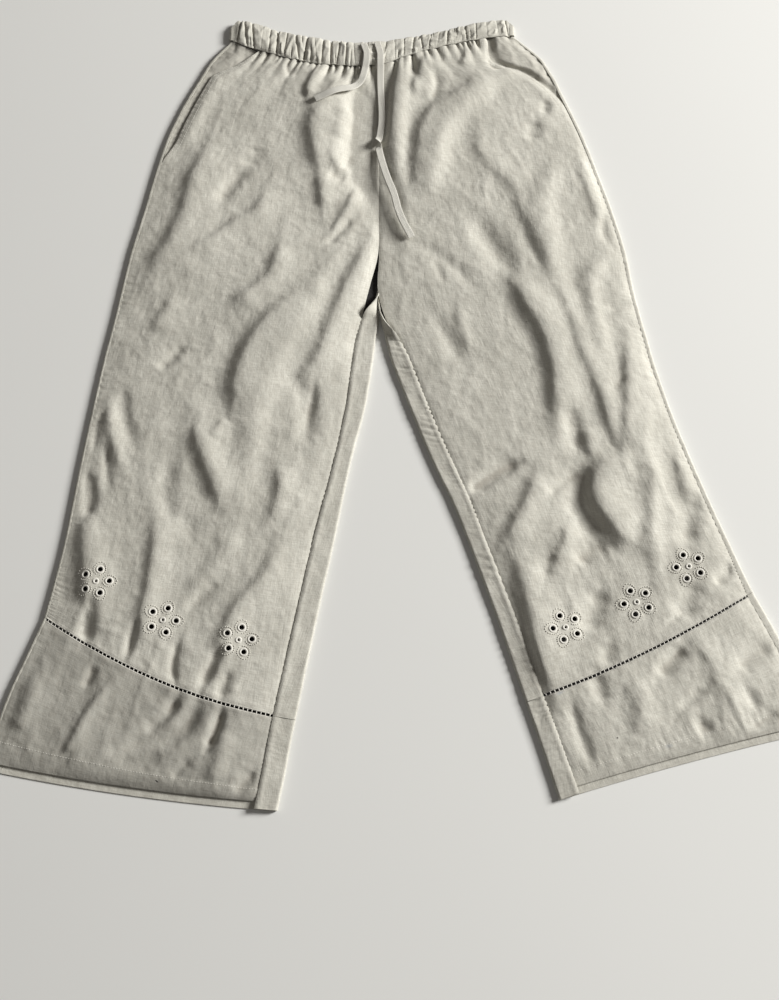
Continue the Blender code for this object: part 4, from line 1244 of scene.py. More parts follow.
@dataclass
class FrontCloth:
    """The front cloth of one leg: leg, hem band and the openwork line between them."""

    side: Side
    leg_table: tuple
    band_table: tuple
    folds: list
    flowers: tuple
    columns: int = 118
    step: float = 2.35
    leg: Sections = field(init=False)
    band: Sections = field(init=False)
    shape: LegShape = field(init=False)
    seed: int = field(init=False)

    def __post_init__(self) -> None:
        """Read the tables."""
        self.shape = SHAPES[self.side]
        self.seed = self.shape.seed
        self.leg = Sections(self.leg_table, self.step, skip_start=0.2, skip_end=OPENWORK_HALF)
        self.band = Sections(self.band_table, self.step, skip_start=OPENWORK_HALF)

    def _inner_mids(self, y: np.ndarray) -> np.ndarray:
        """Return how high the front cloth lies along its inner edge."""
        at_fork = (INNER_MID - CENTRE_MID) * smooth((60.0 - y) / 90.0)
        return CENTRE_MID + at_fork + self.shape.strip * smooth((-90.0 - y) / 60.0)

    def _relief(self, x: np.ndarray, y: np.ndarray) -> np.ndarray:
        """Return the folds and the uneven rumple of the loose cloth."""
        total = sum(fold.rise(x, y) for fold in self.folds)
        across, along = x - self.shape.slant * y, y + self.shape.slant * x
        rough = 0.55 + 0.45 * crumple(x, y, 85.0, self.seed + 4)
        total += 0.4 * crumple(across, along * 0.55, 29.0, self.seed)
        total += rough * 0.5 * creased(across, along * 0.5, 30.0, self.seed + 1)
        total += rough * 0.32 * creased(along, across * 0.6, 17.0, self.seed + 2)
        total += 0.2 * creased(across, along * 0.8, 9.0, self.seed + 3)
        return RELIEF_LIMIT * np.tanh(total / RELIEF_LIMIT)

    def _height(self, sections: Sections, x: np.ndarray, y: np.ndarray) -> tuple:
        """Return the middle height of the cloth and its painted shade, which grows with how deep in a fold
        it lies.
        """
        gap_o, gap_i = np.abs(x - x[:, :1]), np.abs(x[:, -1:] - x)
        inner = self._inner_mids(y)
        rise_o = SIDE_MID + (LOFT_MID - SIDE_MID) * (1.0 - fade(gap_o, self.shape.reach_o))
        rise_i = inner + (LOFT_MID - inner) * (1.0 - fade(gap_i, self.shape.reach_i))
        hold = smooth(gap_o / SEAM_HOLD) * smooth(gap_i / SEAM_HOLD)
        relief = self._relief(x, y)
        mid = not_below(rise_o + rise_i - LOFT_MID + hold * relief, LEAST_MID, 0.5)
        run = sections.run[:, None] + 0.0 * x
        fork = smooth((-60.0 - y) / 40.0)
        seam = (y < POCKET_END) * 1.0
        mid += seam * puckers(run, gap_o, *SIDE_PUCKERS, self.seed + 5)
        mid += fork * puckers(run, gap_i, *INNER_PUCKERS, self.seed + 8)
        mid -= 0.1 * fade(gap_o, 1.6) * seam + 0.45 * fade(gap_i, 1.3)
        mid += self._mouth(run, gap_o, y)
        # painted shade: darker where the cloth lies below its smoothed surroundings, in the hollows of
        # folds
        painted_shade = smooth((softened(relief, 50) - relief - 0.9) / 3.8)
        return mid, painted_shade

    def _mouth(self, run: np.ndarray, gap: np.ndarray, y: np.ndarray) -> np.ndarray:
        """Return the relief along the pocket mouth: a bulge behind a double-stitched edge."""
        if self.side is Side.RIGHT:
            here = smooth((y - POCKET_END - 8.0) / 24.0) * smooth((292.0 - y) / 14.0)
            bulge = 2.3 * fade(gap - 9.0, 9.0, 2)
        else:
            here = smooth((y - 176.0) / 24.0)
            bulge = fade(gap - 13.0, 9.0, 2) - 1.9 * smooth((y - 232.0) / 12.0) * fade(gap, 3.4)
        rows = sum(fade(gap - inset, width, 2) for inset, width in zip(MOUTH_ROWS, (0.8, 0.9)))
        return here * (bulge - 0.35 * rows + puckers(run, gap, *MOUTH_PUCKERS, self.seed + 15))

    def _waist(self, x: np.ndarray, y: np.ndarray, mid: np.ndarray) -> tuple:
        """Return y and the height with the gathers that run down from the casing."""
        below = np.maximum(self.leg.line(x)[0][None, :] - y, 0.0) + 0.0 * y
        share = (x - x[:, :1]) / (x[:, -1:] - x[:, :1])
        at_waist = x[0, 0] + share * (x[0, -1] - x[0, 0])
        lag = at_waist - x
        tails = gather_tails(at_waist - 0.6 * lag, below, CASING_GATHERS)
        mid = mid + (WAIST_MID + 0.6 - mid) * fade(below, 13.0)
        swell = 1.1 * crumple(at_waist, below * 0.4, 15.0, self.seed + 12) * fade(below, 22.0)
        clear = smooth(np.abs(x) / 5.0)
        mid = not_below(mid + clear * (swell * smooth(below / 5.0) - 4.4 * tails), LEAST_MID, 0.5)
        return y + seam_wave(at_waist) * fade(below, 4.0), mid - 0.1 * fade(below, 1.2)

    def build(self, cloth: Material, band_cloth: Material, rest: Rest) -> list:
        """Build the leg and the band.

        Args:
            cloth: The leg's material.
            band_cloth: The band's material.
            rest: Where the finished cloth is kept for laying details.

        Returns:
            The two pieces.
        """
        x, y = self.leg.front_grid(self.columns)
        mid, painted_shade = self._height(self.leg, x, y)
        y, mid = self._waist(x, y, mid)
        mid += rolled_edge((self.leg.run[-1] - self.leg.run)[:, None])
        lifted = grid(x, y, mid)
        name = f"front_{self.side.value}_leg"
        wall = FRONT_WALL + 0.5 * fade(np.abs(x - x[:, :1]), 7.0, 4) * (y > POCKET_END)
        cut = self._cut(self.leg, x)
        leg = cloth_piece(name + "_cloth", lifted, wall, cloth, cut, (painted_shade, painted_shade), face_up=True)
        declare(leg, name, lifted)
        self._cut_holes(leg)
        band = self._band(band_cloth)
        for piece in (leg, band):
            rest.add(piece)
        return [leg, band]

    def _band(self, cloth: Material) -> Thing:
        """Build the hem band, with its deep turned hem."""
        x, y = self.band.front_grid(self.columns)
        mid, painted_shade = self._height(self.band, x, y)
        above = (self.band.run[-1] - self.band.run)[:, None] + 0.0 * x
        turned = smooth((HEM_DEPTH + 0.8 - above) / 1.6)
        mid += 0.35 * turned - 0.4 * fade(above - HEM_DEPTH + HEM_STITCH, 1.1, 2)
        mid += puckers(run_along(x, y), np.abs(above - HEM_DEPTH), *HEM_PUCKERS, self.seed + 21)
        mid = HEM_MID + (mid - HEM_MID) * (1.0 - 0.94 * fade(above, 12.0)) - 0.2 * fade(above, 1.5)
        mid += rolled_edge(self.band.run[:, None])
        name = f"front_{self.side.value}_hem_band"
        lifted, wall = grid(x, y, mid), FRONT_WALL + 0.55 * turned
        cut = self._cut(self.band, x)
        band = cloth_piece(name + "_cloth", lifted, wall, cloth, cut, (painted_shade, painted_shade), face_up=True)
        return declare(band, name, lifted)

    def _cut(self, sections: Sections, x: np.ndarray) -> np.ndarray:
        """Return where each point lies on the flat cut."""
        return grid(x - 0.5 * (x[:, :1] + x[:, -1:]), sections.run[:, None])

    def _cut_holes(self, leg: Thing) -> None:
        """Cut the petal holes and the small centre holes through the cloth."""
        points, faces, sides, ends = [], [], 20, (-3.0, 30.0)
        for flower in self.flowers:
            holes = [(*flower[:2], CENTRE_HOLE)] + [(x, y, EYELET_HOLE) for x, y, _ in petals_of(flower)]
            for hx, hy, radius in holes:
                low = [len(points) + k for k in range(sides)]
                high = [sides + k for k in low]
                points += [(hx + x, hy + y, z) for z in ends for x, y in circle(sides, radius, 0.5)]
                faces += [low[::-1], high]
                after = [(k + 1) % sides for k in range(sides)]
                faces += [[low[k], low[n], high[n], high[k]] for k, n in enumerate(after)]
        mesh = bpy.data.meshes.new("holes")
        mesh.from_pydata(to_metres(np.array(points)).tolist(), [], faces)
        cutter = bpy.data.objects.new("holes", mesh)
        bpy.context.scene.collection.objects.link(cutter)
        cut = leg.modifiers.new("eyelets", "BOOLEAN")
        cut.operation, cut.solver, cut.object = "DIFFERENCE", "EXACT", cutter
        shape = bpy.data.meshes.new_from_object(leg.evaluated_get(bpy.context.evaluated_depsgraph_get()))
        leg.modifiers.clear()
        leg.data = shape
        bpy.data.objects.remove(cutter, do_unlink=True)


@dataclass
class BackCloth:
    """The back cloth of one leg or hem band, turned over the side and the inside edge on to the front."""

    side: Side
    part: str
    table: tuple
    drop: float = 0.0
    arc: int = 8
    flat: int = 24
    turn: int = 14
    step: float = 2.6
    skip: float = 0.2

    def _section(self, width: float, drop_o: float, drop_i: float, curl: float) -> tuple:
        """Return across and up along the cloth: side fold, floor and round the inner edge."""
        radius = (SIDE_MID - BACK_MID) / 2.0
        flat_end = width - (curl * radius + (1.0 - curl) * drop_i)
        across, up = [drop_o, 0.5 * (drop_o + radius), radius + 0.02], [SIDE_MID] * 3
        for k in range(1, self.arc + 1):
            angle = math.pi * k / self.arc
            across.append(radius - radius * math.sin(angle))
            up.append(BACK_MID + radius + radius * math.cos(angle))
        across += [radius + (flat_end - radius) * k / self.flat for k in range(1, self.flat + 1)]
        up += [BACK_MID] * self.flat
        heading = 0.0
        length = curl * math.pi * radius / self.arc + (1.0 - curl) * drop_i / (self.arc + self.turn)
        for _ in range(self.arc):
            heading += math.pi * curl / self.arc / 2.0
            across.append(across[-1] + length * math.cos(heading))
            up.append(up[-1] + length * math.sin(heading))
            heading += math.pi * curl / self.arc / 2.0
        rest = curl * max(drop_i - radius, 0.5) + (1.0 - curl) * drop_i * self.turn / (self.arc + self.turn)
        for _ in range(self.turn):
            across.append(across[-1] + rest / self.turn * math.cos(heading))
            up.append(up[-1] + rest / self.turn * math.sin(heading))
        return np.array(across), np.array(up)

    def build(self, cloth: Material, rest: Rest) -> Thing:
        """Build the piece and return it."""
        skip_end = 0.0 if self.drop else self.skip
        sections = Sections(self.table, self.step, skip_start=self.skip, skip_end=skip_end, drop=self.drop)
        points, cut = [], []
        for i, row in enumerate(zip(*sections.rows.values())):
            r = dict(zip(sections.rows, row))
            pocket = r["oy"] > POCKET_END and self.part == "leg"
            drop_o = (POCKET_SEAM if pocket else r["front_o"]) - SEAM_GAP
            across, up = self._section(abs(r["ix"] - r["ox"]), drop_o, r["turn"], float(r["curl"]))
            x = r["ox"] + sections.side * across
            share = (x - r["ox"]) / (r["ix"] - r["ox"])
            points.append(grid(x, sagging(r["oy"], r["iy"], r["sag"], share), up))
            cut.append(grid(run_along(across, up), sections.run[i]))
        middle, cut = np.array(points), np.array(cut)
        middle[..., 2] += self._seams(sections, middle, cut)
        name = f"back_{self.side.value}_{self.part}"
        # painted shadow: the inside of the back cloth where it lies on the floor is painted near black,
        # seen through the eyelets and openwork; left out near the hem
        painted_inside_shadow = INSIDE_SHADE * (middle[..., 2] < 1.4) * smooth((cut[..., 0] - cut[:, :1, 0]) / 8.0)
        if self.drop:
            painted_inside_shadow = painted_inside_shadow * (sections.run[:, None] < sections.run[-1] - self.drop - 7.0)
        sides = (None, painted_inside_shadow) if self.side is Side.RIGHT else (painted_inside_shadow, None)
        piece = declare(cloth_piece(name + "_cloth", middle, BACK_WALL, cloth, cut, sides), name, middle)
        rest.add(piece)
        return piece

    def _seams(self, sections: Sections, middle: np.ndarray, cut: np.ndarray) -> np.ndarray:
        """Return the puckers and dips of the turned-over strips, none on the floor side."""
        shape, run = SHAPES[self.side], cut[..., 1]
        gap_i, gap_o = cut[:, -1:, 0] - cut[..., 0], cut[..., 0] - cut[:, :1, 0]
        upper = smooth((middle[..., 2] - 3.0) / 0.9)
        curl = smooth((sections.rows["curl"][:, None] - 0.5) / 0.4)
        strip = puckers(run, gap_i, shape.strip_pucker, 6.3, 26.0, shape.back_seed)
        strip += 0.3 * crumple(run * 0.8, gap_i * 1.4, 13.0, shape.back_seed + 3)
        strip += 0.5 * fade(gap_i - 3.0, 2.4, 2) - 0.5 * fade(gap_i, 1.3)
        strip += shape.strip_lift * fade(gap_i, 12.0, 2)
        side = puckers(run, gap_o, 0.3, 7.0, 9.0, shape.back_seed + 7) - 0.05 * fade(gap_o, 1.4)
        return upper * np.where(gap_i < gap_o, curl * strip, side)


@dataclass
class PocketFacing:
    """The cloth inside a slant pocket mouth, which goes on under the front."""

    side: Side
    table: tuple
    bulge: float = 1.0
    pucker: float = 0.4
    wall: float = 1.0
    columns: int = 34
    step: float = 2.0

    def build(self, cloth: Material) -> Thing:
        """Build the piece and return it."""
        sections = Sections(self.table, self.step, skip_start=0.5)
        r = sections.rows
        reach = r["front_o"] + POCKET_UNDER
        edges = np.full(len(reach), POCKET_SEAM), np.abs(r["ix"] - r["ox"]) - reach
        x, y = sections.front_grid(self.columns, *edges)
        mouth = r["ox"] + sections.side * r["front_o"]
        outside = (mouth[:, None] - x) * sections.side
        below = np.maximum(waist_line(x) - y, 0.0)
        gap = np.abs(x - x[:, :1])
        open_part = smooth((outside - 1.0) / 11.0)
        z = POCKET_MID + (SIDE_MID - POCKET_MID) * open_part
        z += self.bulge * open_part * smooth(gap / 12.0) * smooth((r["oy"][:, None] - 215.0) / 30.0)
        run = sections.run[:, None] + 0.0 * x
        z += puckers(run, gap, self.pucker, 7.0, 14.0, 5) - 0.2 * fade(gap, 1.2)
        z += (0.55 * creased(x, y, 17.0, 8) + 0.3 * creased(x, y, 9.0, 9)) * smooth(outside / 4.0)
        z += open_part * fade(below, 9.0) * 1.2 - 2.2 * open_part * gather_tails(x, below, CASING_GATHERS)
        z = not_below(z, POCKET_MID, 0.3) - 0.2
        middle = grid(x, y + seam_wave(x) * fade(below, 4.0), z)
        # painted shade on the facing, which lies under the front
        cut, painted_shade = grid(x - x[:, :1], sections.run[:, None]), FACING_SHADE + 0.0 * x
        name = f"pocket_facing_{self.side.value}"
        piece = cloth_piece(name + "_cloth", middle, self.wall, cloth, cut, (painted_shade, painted_shade))
        return declare(piece, name, middle)


@dataclass
class Casing:
    """The gathered strip round the elastic: front and back."""

    first: float = -174.0
    last: float = 155.5
    rows: int = 26
    step: float = 0.62
    depth: float = 3.4
    end_mid: float = 4.9
    back_mid: float = 1.0
    back_wall: float = 2.0
    back_ends: tuple = (-178.6, 160.4)

    def front(self, cloth: Material, rest: Rest) -> Thing:
        """Build the gathered front."""
        x = np.arange(self.first, self.last + 0.01, self.step)[None, :]
        share = np.linspace(0.0, 1.0, self.rows)[:, None]
        knots, tops = zip(*CASING_TOP)
        notch = gather_depth(x, 0.0 * x, CASING_GATHERS)
        top = through(knots, tops, x) + 0.7 - 1.3 * notch + 0.5 * crumple(x, 0.0 * x, 9.0, 3)
        low = waist_line(x) + seam_wave(x) + SEAM_GAP + 0.1
        y = top * (1.0 - share) + low * share
        ends = smooth((x - self.first) / 8.0) * smooth((self.last - x) / 8.0)
        creases = gather_depth(x, share, CASING_GATHERS)
        swell = 1.5 * crumple(x, 26.0 * share, 17.0, 4)
        swell += 0.7 * creased(x + 9.0 * share, 24.0 * share, 8.0, 6)
        z = self.end_mid + (3.3 + 0.5 * np.sin(np.pi * share) + swell - self.depth * creases) * ends
        z = not_below(z, 3.4, 0.4) - 1.9 * fade(top - y, 2.6, 1.3) * ends
        z += (WAIST_MID + 0.5 - z) * fade(y - low, 2.2, 1.4) * ends
        z -= 0.5 * fade(y - low - 3.4, 1.1, 2) * ends
        middle, cut = grid(x, y, z)[:, ::-1], grid(1.5 * x, y)[:, ::-1]
        # painted shade in the creases of the gathers
        painted_shade = smooth(1.15 * creases - 0.1)[:, ::-1]
        sides = (painted_shade, painted_shade)
        piece = cloth_piece("front_casing_cloth", middle, CASING_WALL, cloth, cut, sides, face_up=True)
        rest.add(piece)
        return declare(piece, "waistband_front", middle)

    def back(self, cloth: Material) -> Thing:
        """Build the back, which turns over at both sides."""
        low_mid, (right, left) = self.back_mid, self.back_ends
        radius = (self.end_mid - low_mid) / 2.0
        bend = [(math.sin(math.pi * k / 8), math.cos(math.pi * k / 8)) for k in range(1, 9)]
        inner = list(np.linspace(right + radius, left - radius, 130)[1:])
        across = [right + 4.2, right + radius] + [right + radius * (1.0 - s) for s, _ in bend] + inner
        across += [left - radius * (1.0 - s) for s, _ in bend] + [left - 4.4]
        up = [self.end_mid] * 2 + [low_mid + radius * (1.0 + c) for _, c in bend] + [low_mid] * len(inner)
        up += [low_mid + radius * (1.0 - c) for _, c in bend] + [self.end_mid]
        across, up = np.array(across), np.array(up)
        knots, tops = zip(*CASING_TOP)
        top = through(knots, tops, np.clip(across, knots[0], knots[-1])) + 0.6
        low = waist_line(np.clip(across, RIGHT_LEG[0][0], LEFT_LEG[0][0])) + SEAM_GAP + 1.2
        share = np.linspace(0.0, 1.0, 12)[:, None]
        y = top * (1.0 - share) + low * share
        # painted shade on the hidden back of the casing
        middle, cut, painted_shade = grid(across, y, up), grid(1.5 * across, y), CASING_SHADE + 0.0 * y
        piece = cloth_piece("back_casing_cloth", middle, self.back_wall, cloth, cut, (painted_shade, painted_shade))
        return declare(piece, "waistband_back", middle)


@dataclass
class Drawstring:
    """One free end of the flat tape, lying on the front, which may turn over once."""

    side: Side
    points: tuple
    lift: tuple
    twist_at: float = -1.0
    twist_reach: float = 9.0
    twist_rise: float = 0.36
    step: float = 1.5
    rounds: int = 14

    def build(self, tape: Material, rest: Rest) -> Thing:
        path = even_path(self.points, self.step)
        run = np.arange(len(path)) * self.step
        way = np.gradient(path, axis=0)
        way /= np.linalg.norm(way, axis=1, keepdims=True)
        square = grid(way[:, 1], -way[:, 0])
        turn = smooth((run - self.twist_at + self.twist_reach) / (2.0 * self.twist_reach))
        turn = math.pi * turn * (self.twist_at > 0.0)
        z = self._bed(path, square, run, rest) + 0.5 * (1.0 + TAPE_THICK)
        z += self.twist_rise * TAPE_WIDTH * np.abs(np.sin(turn))
        centre, flat = grid(path[:, 0], path[:, 1], z), grid(square[:, 0], square[:, 1], 0.0)
        upward, turn = np.array([0.0, 0.0, 1.0]), turn[:, None]
        across = flat * np.cos(turn) + upward * np.sin(turn)
        above = upward * np.cos(turn) - flat * np.sin(turn)
        outline = self._outline()
        thin = (0.3 + 0.7 * smooth((run[-1] - run) / 4.0))[:, None, None]
        rings = centre[:, None] + outline[:, :1] * across[:, None] + thin * outline[:, 1:] * above[:, None]
        name = f"{self.side.value}_tape"
        cut = grid(outline[:, 0], run[:, None], 0.0).reshape(-1, 3) * MM
        points, faces = to_metres(rings.reshape(-1, 3)), self._faces(*rings.shape[:2])
        piece = make_piece(name, points, faces, tape, {"cut": cut}, sharp=70.0)
        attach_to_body(piece, BODY)
        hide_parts(f"drawstring_{self.side.value}")
        route = to_metres(centre)
        return piece

    def _bed(self, path: np.ndarray, square: np.ndarray, run: np.ndarray, rest: Rest) -> np.ndarray:
        """Return the height of the tape's underside: a soft line over the cloth, lifted by the table."""
        tops = np.array([
            max(rest.top(*(p + s * q))[0] for s in np.linspace(-0.5, 0.5, 5) * TAPE_WIDTH)
            for p, q in zip(path, square)
        ])
        bed = np.array([tops[max(0, i - 3):i + 4].max() for i in range(len(tops))])
        for _ in range(self.rounds):
            softer = np.convolve(np.pad(bed, 1, mode="edge"), (0.25, 0.5, 0.25), mode="valid")
            bed = np.maximum(tops, softer)
        at, height = zip(*self.lift)
        return bed + through(at, height, np.clip(run, at[0], at[-1]))

    def _outline(self) -> np.ndarray:
        """Return the tape's section: a flat band with rounded, thicker edges."""
        half, thick = TAPE_WIDTH / 2.0, TAPE_THICK / 2.0
        upper = [(-half, 0.0), (-half + 0.35, 0.85 * thick), (-half + 1.2, thick)]
        upper += [(-half * 0.4, 0.8 * thick), (0.0, 0.78 * thick)]
        upper += [(-x, z) for x, z in upper[-2::-1]]
        return np.array(upper + [(x, -z) for x, z in upper[-2:0:-1]])

    def _faces(self, count: int, around: int) -> list:
        """Return the faces that join the rings and close both ends."""
        index = np.arange(count * around).reshape(count, around)
        after = np.roll(index, -1, axis=1)
        faces = np.stack([index[:-1], after[:-1], after[1:], index[1:]], axis=-1).reshape(-1, 4).tolist()
        for row, order in ((index[0].tolist(), -1), (index[-1].tolist(), 1)):
            for k in range(around // 2):
                quad = [row[k], row[k + 1], row[around - k - 1], row[(around - k) % around]]
                faces.append(list(dict.fromkeys(quad[::order])))
        return faces


@dataclass
class Flowers:
    """The embroidery round the cut eyelets of one leg."""

    side: Side
    flowers: tuple
    ring: tuple = (3.55, 1.0)
    ring_reach: float = 4.4
    centre_ring: tuple = (2.4, 1.1)
    centre_reach: float = 3.0
    loop: float = 6.3
    loop_point: float = 0.28
    loop_turn: float = 160.0
    loop_stitches: int = 17
    dot: tuple = (0.85, 0.5, 0.55)

    def build(self, thread: Material, rest: Rest) -> Thing:
        """Lay the rings and the dotted loops."""
        laid = Laid(rest)
        petal_ring, centre_ring = ring_form(*self.ring), ring_form(*self.centre_ring)
        for flower in self.flowers:
            self._ring(laid, centre_ring, *flower[:2], self.centre_reach)
            for x, y, aim in petals_of(flower):
                self._ring(laid, petal_ring, x, y, self.ring_reach)
                self._loop(laid, x, y, aim)
        return attach(laid.piece(f"eyelet_embroidery_{self.side.value}", thread))

    def _ring(self, laid: Laid, form: tuple, x: float, y: float, reach: float) -> None:
        """Lay a ring level with the cloth round its hole, at a distance from the hole's middle."""
        places = np.array([(px, py, laid.rest.top(x + px, y + py)[0]) for px, py in circle(8, reach)])
        plane = np.linalg.lstsq(np.c_[places[:, :2], np.ones(8)], places[:, 2], rcond=None)[0]
        laid.add(form, (x, y, plane[2]), (1, 0, 0), (-plane[0], -plane[1], 1.0), (1, 1, 1))

    def _loop(self, laid: Laid, px: float, py: float, aim: float) -> None:
        """Lay the dotted loop round the outer side of a petal."""
        for k in range(self.loop_stitches):
            turn = math.radians(self.loop_turn * (2.0 * k / (self.loop_stitches - 1) - 1.0))
            radius = self.loop * (1.0 + self.loop_point * max(0.0, math.cos(turn)) ** 4)
            along, aside = math.cos(aim + turn), math.sin(aim + turn)
            laid.stitch(px + radius * along, py + radius * aside, (-aside, along), self.dot, 0.25)


@dataclass
class Openwork:
    """The drawn-thread line between a leg and its hem band."""

    front: FrontCloth
    columns: int = 240
    bar: tuple = (0.56, 0.4)
    edge_pitch: float = 1.25
    edge_in: float = 0.55
    edge_stitch: tuple = (0.7, 0.42, 0.3)

    def build(self, thread: Material, rest: Rest) -> Thing:
        """Lay the bars across the gap and the whipped stitches on both of its edges."""
        leg_x, leg_y = self.front.leg.front_grid(self.columns)
        band_x, band_y = self.front.band.front_grid(self.columns)
        upper, lower = grid(leg_x[-1], leg_y[-1]), grid(band_x[0], band_y[0])
        laid, run = Laid(rest), run_along(*upper.T)
        for at in np.arange(2.5, run[-1] - 1.5, OPENWORK_PITCH):
            self._bar(laid, self._at(run, upper, at), self._at(run, lower, at))
        for at in np.arange(0.8, run[-1] - 0.6, self.edge_pitch):
            a, b = self._at(run, upper, at), self._at(run, lower, at)
            way = (b - a) / np.linalg.norm(b - a)
            for x, y in (a - self.edge_in * way, b + self.edge_in * way):
                laid.stitch(x, y, way, self.edge_stitch, 0.0)
        return attach(laid.piece(f"openwork_{self.front.side.value}", thread))

    def _at(self, run: np.ndarray, line: np.ndarray, at: float) -> np.ndarray:
        """Return the place on a line at a distance along it."""
        return np.array([np.interp(at, run, line[:, 0]), np.interp(at, run, line[:, 1])])

    def _bar(self, laid: Laid, a: np.ndarray, b: np.ndarray) -> None:
        """Lay one bar of bound threads between two places, its ends sunk a little into the edges."""
        way = (b - a) / np.linalg.norm(b - a)
        start, end = (
            np.array([*(place + 0.5 * back * way), laid.rest.top(*(place + 0.8 * back * way))[0] - 0.3])
            for place, back in ((a, -1.0), (b, 1.0))
        )
        length = np.linalg.norm(end - start) / 2.0
        laid.add(GRAIN, (start + end) / 2.0, end - start, (0.0, 0.0, 1.0), (length + 0.3, *self.bar))


@dataclass
class Topstitching:
    """The stitch lines of one side: hem, pocket mouth and casing seam."""

    front: FrontCloth
    pitch: float = 2.9
    size: tuple = (1.05, 0.3, 0.26)
    seam_gap: float = 3.4

    def build(self, thread: Material, rest: Rest) -> Thing:
        """Lay every line."""
        laid = Laid(rest)
        for line in (self._hem(), *self._mouth(), self._seam()):
            laid.row(grid(*line), self.pitch, self.size, 0.05)
        return attach(laid.piece(f"topstitching_{self.front.side.value}", thread))

    def _hem(self) -> tuple:
        """Return the line at the top of the turned hem."""
        band = self.front.band
        x, y = band.front_grid(90)
        row = int(np.argmin(np.abs(band.run[-1] - band.run - (HEM_DEPTH - HEM_STITCH))))
        return x[row, 1:-1], y[row, 1:-1]

    def _mouth(self) -> list:
        """Return both lines beside the pocket mouth, which end at the first two lines below the casing."""
        leg, r = self.front.leg, self.front.leg.rows
        keep = r["oy"] > self.front.shape.mouth_end
        keep[:2] = False
        lines = [r["ox"] + leg.side * (r["front_o"] + inset) for inset in MOUTH_ROWS]
        return [(x[keep], leg.line(x[:, None])[keep, 0]) for x in lines]

    def _seam(self) -> tuple:
        """Return the line above the casing seam."""
        leg, r = self.front.leg, self.front.leg.rows
        start, end = sorted((r["ox"][0] + leg.side * r["front_o"][0], r["ix"][0]))
        across = np.linspace(start + 1.0, end - 1.5, 70)
        return across, waist_line(across) + self.seam_gap


@dataclass(frozen=True)
class Lamp:
    """One soft light: where it stands, its size, power and colour."""

    name: str
    place: tuple
    size: float
    power: float
    colour: tuple = (1.0, 1.0, 1.0)


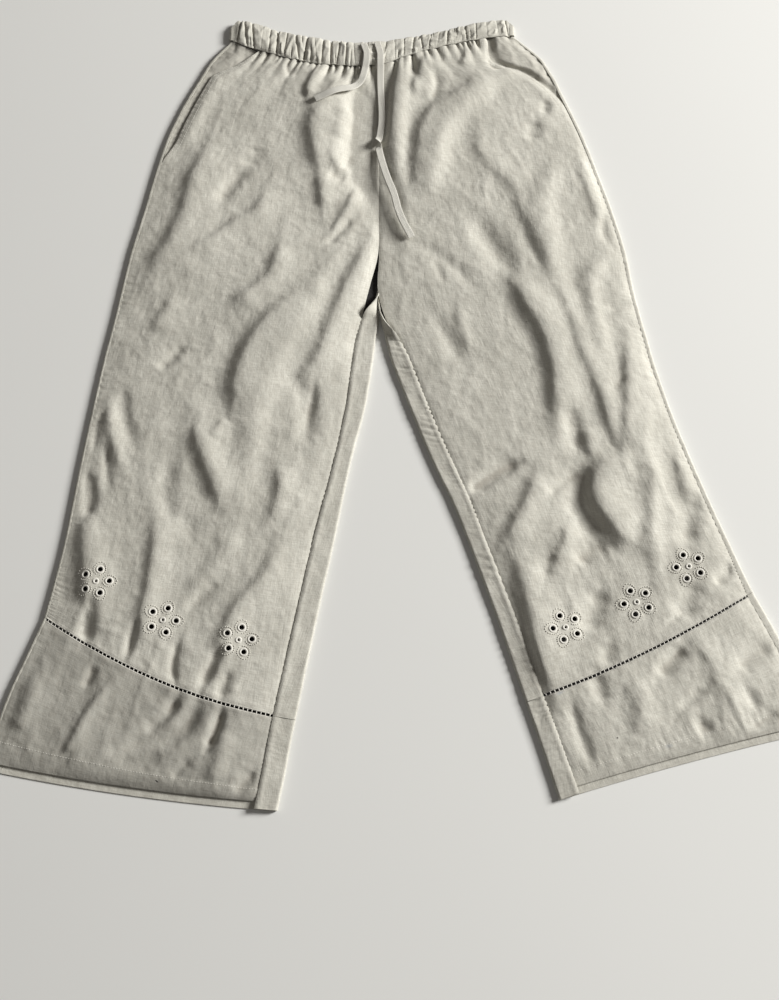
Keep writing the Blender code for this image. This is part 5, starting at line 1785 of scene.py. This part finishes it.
@dataclass
class Studio:
    """The floor, the lights and the camera."""

    camera_place: tuple = (-0.016463, -0.686939, 1.5)
    camera_tilt: float = 20.0
    lens: float = 54.0
    sensor: float = 36.0
    lamps: tuple = (
        Lamp("key", (4.8, 1.5, 2.3), 1.7, 584.0, (1.0, 0.99, 0.965)),
        Lamp("fill", (-1.8, -1.2, 2.4), 2.4, 4.0, (0.95, 0.97, 1.0)),
    )
    sky: float = 0.113
    sky_colour: tuple = (1.0, 0.94, 0.87, 1.0)
    floor_half: float = 3.0

    def build(self) -> None:
        """Set up everything round the trousers."""
        self._camera()
        self._lights()
        self._floor()

    def _camera(self) -> None:
        """Set the camera at the photograph's viewing angle."""
        data = bpy.data.cameras.new("camera")
        data.lens, data.sensor_width, data.sensor_fit = self.lens, self.sensor, "AUTO"
        camera = bpy.data.objects.new("camera", data)
        camera.location = self.camera_place
        camera.rotation_euler = (math.radians(self.camera_tilt), 0.0, 0.0)
        bpy.context.scene.collection.objects.link(camera)
        bpy.context.scene.camera = camera

    def _lights(self) -> None:
        """Set the lamps and the even light round the room."""
        for lamp in self.lamps:
            data = bpy.data.lights.new(lamp.name, "AREA")
            data.size, data.energy, data.color = lamp.size, lamp.power, lamp.colour
            light = bpy.data.objects.new(lamp.name, data)
            light.location = lamp.place
            light.rotation_euler = (-Vector(lamp.place)).to_track_quat("-Z", "Y").to_euler()
            bpy.context.scene.collection.objects.link(light)
        world = bpy.data.worlds.new("room")
        world.use_nodes = True
        back = world.node_tree.nodes["Background"]
        back.inputs[0].default_value = self.sky_colour
        back.inputs[1].default_value = self.sky
        bpy.context.scene.world = world
        bpy.context.scene.view_settings.view_transform = "Standard"

    def _floor(self) -> None:
        """Lay the floor."""
        half = self.floor_half
        corners = [(-half, -half, 0.0), (half, -half, 0.0), (half, half, 0.0), (-half, half, 0.0)]
        floor = make_piece("floor", np.array(corners), np.array([[0, 1, 2, 3]]), FloorFinish().material())


def main() -> None:
    """Build the studio and every piece of the trousers."""
    logging.basicConfig(level=logging.INFO, format="%(name)s: %(message)s")
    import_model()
    Studio().build()
    cloth = ClothFinish("oatmeal_cloth", stained=True).material()
    # painted shade: a darker copy of the cloth for the hem band of the wearer's right leg
    band_cloth = ClothFinish("oatmeal_band_painted_shade", stained=True, painted_shade_scale=0.73).material()
    back_cloth = ClothFinish("oatmeal_back").material()
    pocket_cloth = ClothFinish("oatmeal_pocket").material()
    # painted shade: a darker copy of the cloth for the pocket facing on the wearer's right
    painted_shade_pocket = ClothFinish("oatmeal_pocket_right_painted_shade", painted_shade_scale=0.84).material()
    thread, tape = ThreadFinish("cream_thread").material(), TapeFinish("woven_tape").material()
    rest = Rest()
    fronts = (
        FrontCloth(Side.RIGHT, RIGHT_LEG, RIGHT_BAND, folds_of(RIGHT_FOLDS), RIGHT_FLOWERS),
        FrontCloth(Side.LEFT, LEFT_LEG, LEFT_BAND, folds_of(LEFT_FOLDS), LEFT_FLOWERS),
    )
    for front in fronts:
        front.build(cloth, band_cloth if front.side is Side.RIGHT else cloth, rest)
        BackCloth(front.side, "leg", front.leg_table).build(back_cloth, rest)
        BackCloth(front.side, "hem_band", front.band_table, drop=BACK_HEM_DROP).build(back_cloth, rest)
    PocketFacing(Side.RIGHT, RIGHT_LEG[:6]).build(painted_shade_pocket)
    PocketFacing(Side.LEFT, LEFT_LEG[:6], bulge=2.6, pucker=0.5).build(pocket_cloth)
    casing = Casing()
    casing.front(cloth, rest)
    casing.back(back_cloth)
    Drawstring(Side.RIGHT, RIGHT_TIE, RIGHT_LIFT).build(tape, rest)
    Drawstring(Side.LEFT, LEFT_TIE, LEFT_LIFT, twist_at=137.0).build(tape, rest)
    for front in fronts:
        Flowers(front.side, front.flowers).build(thread, rest)
        Openwork(front).build(thread, rest)
        Topstitching(front).build(thread, rest)


if __name__ == "__main__":
    main()
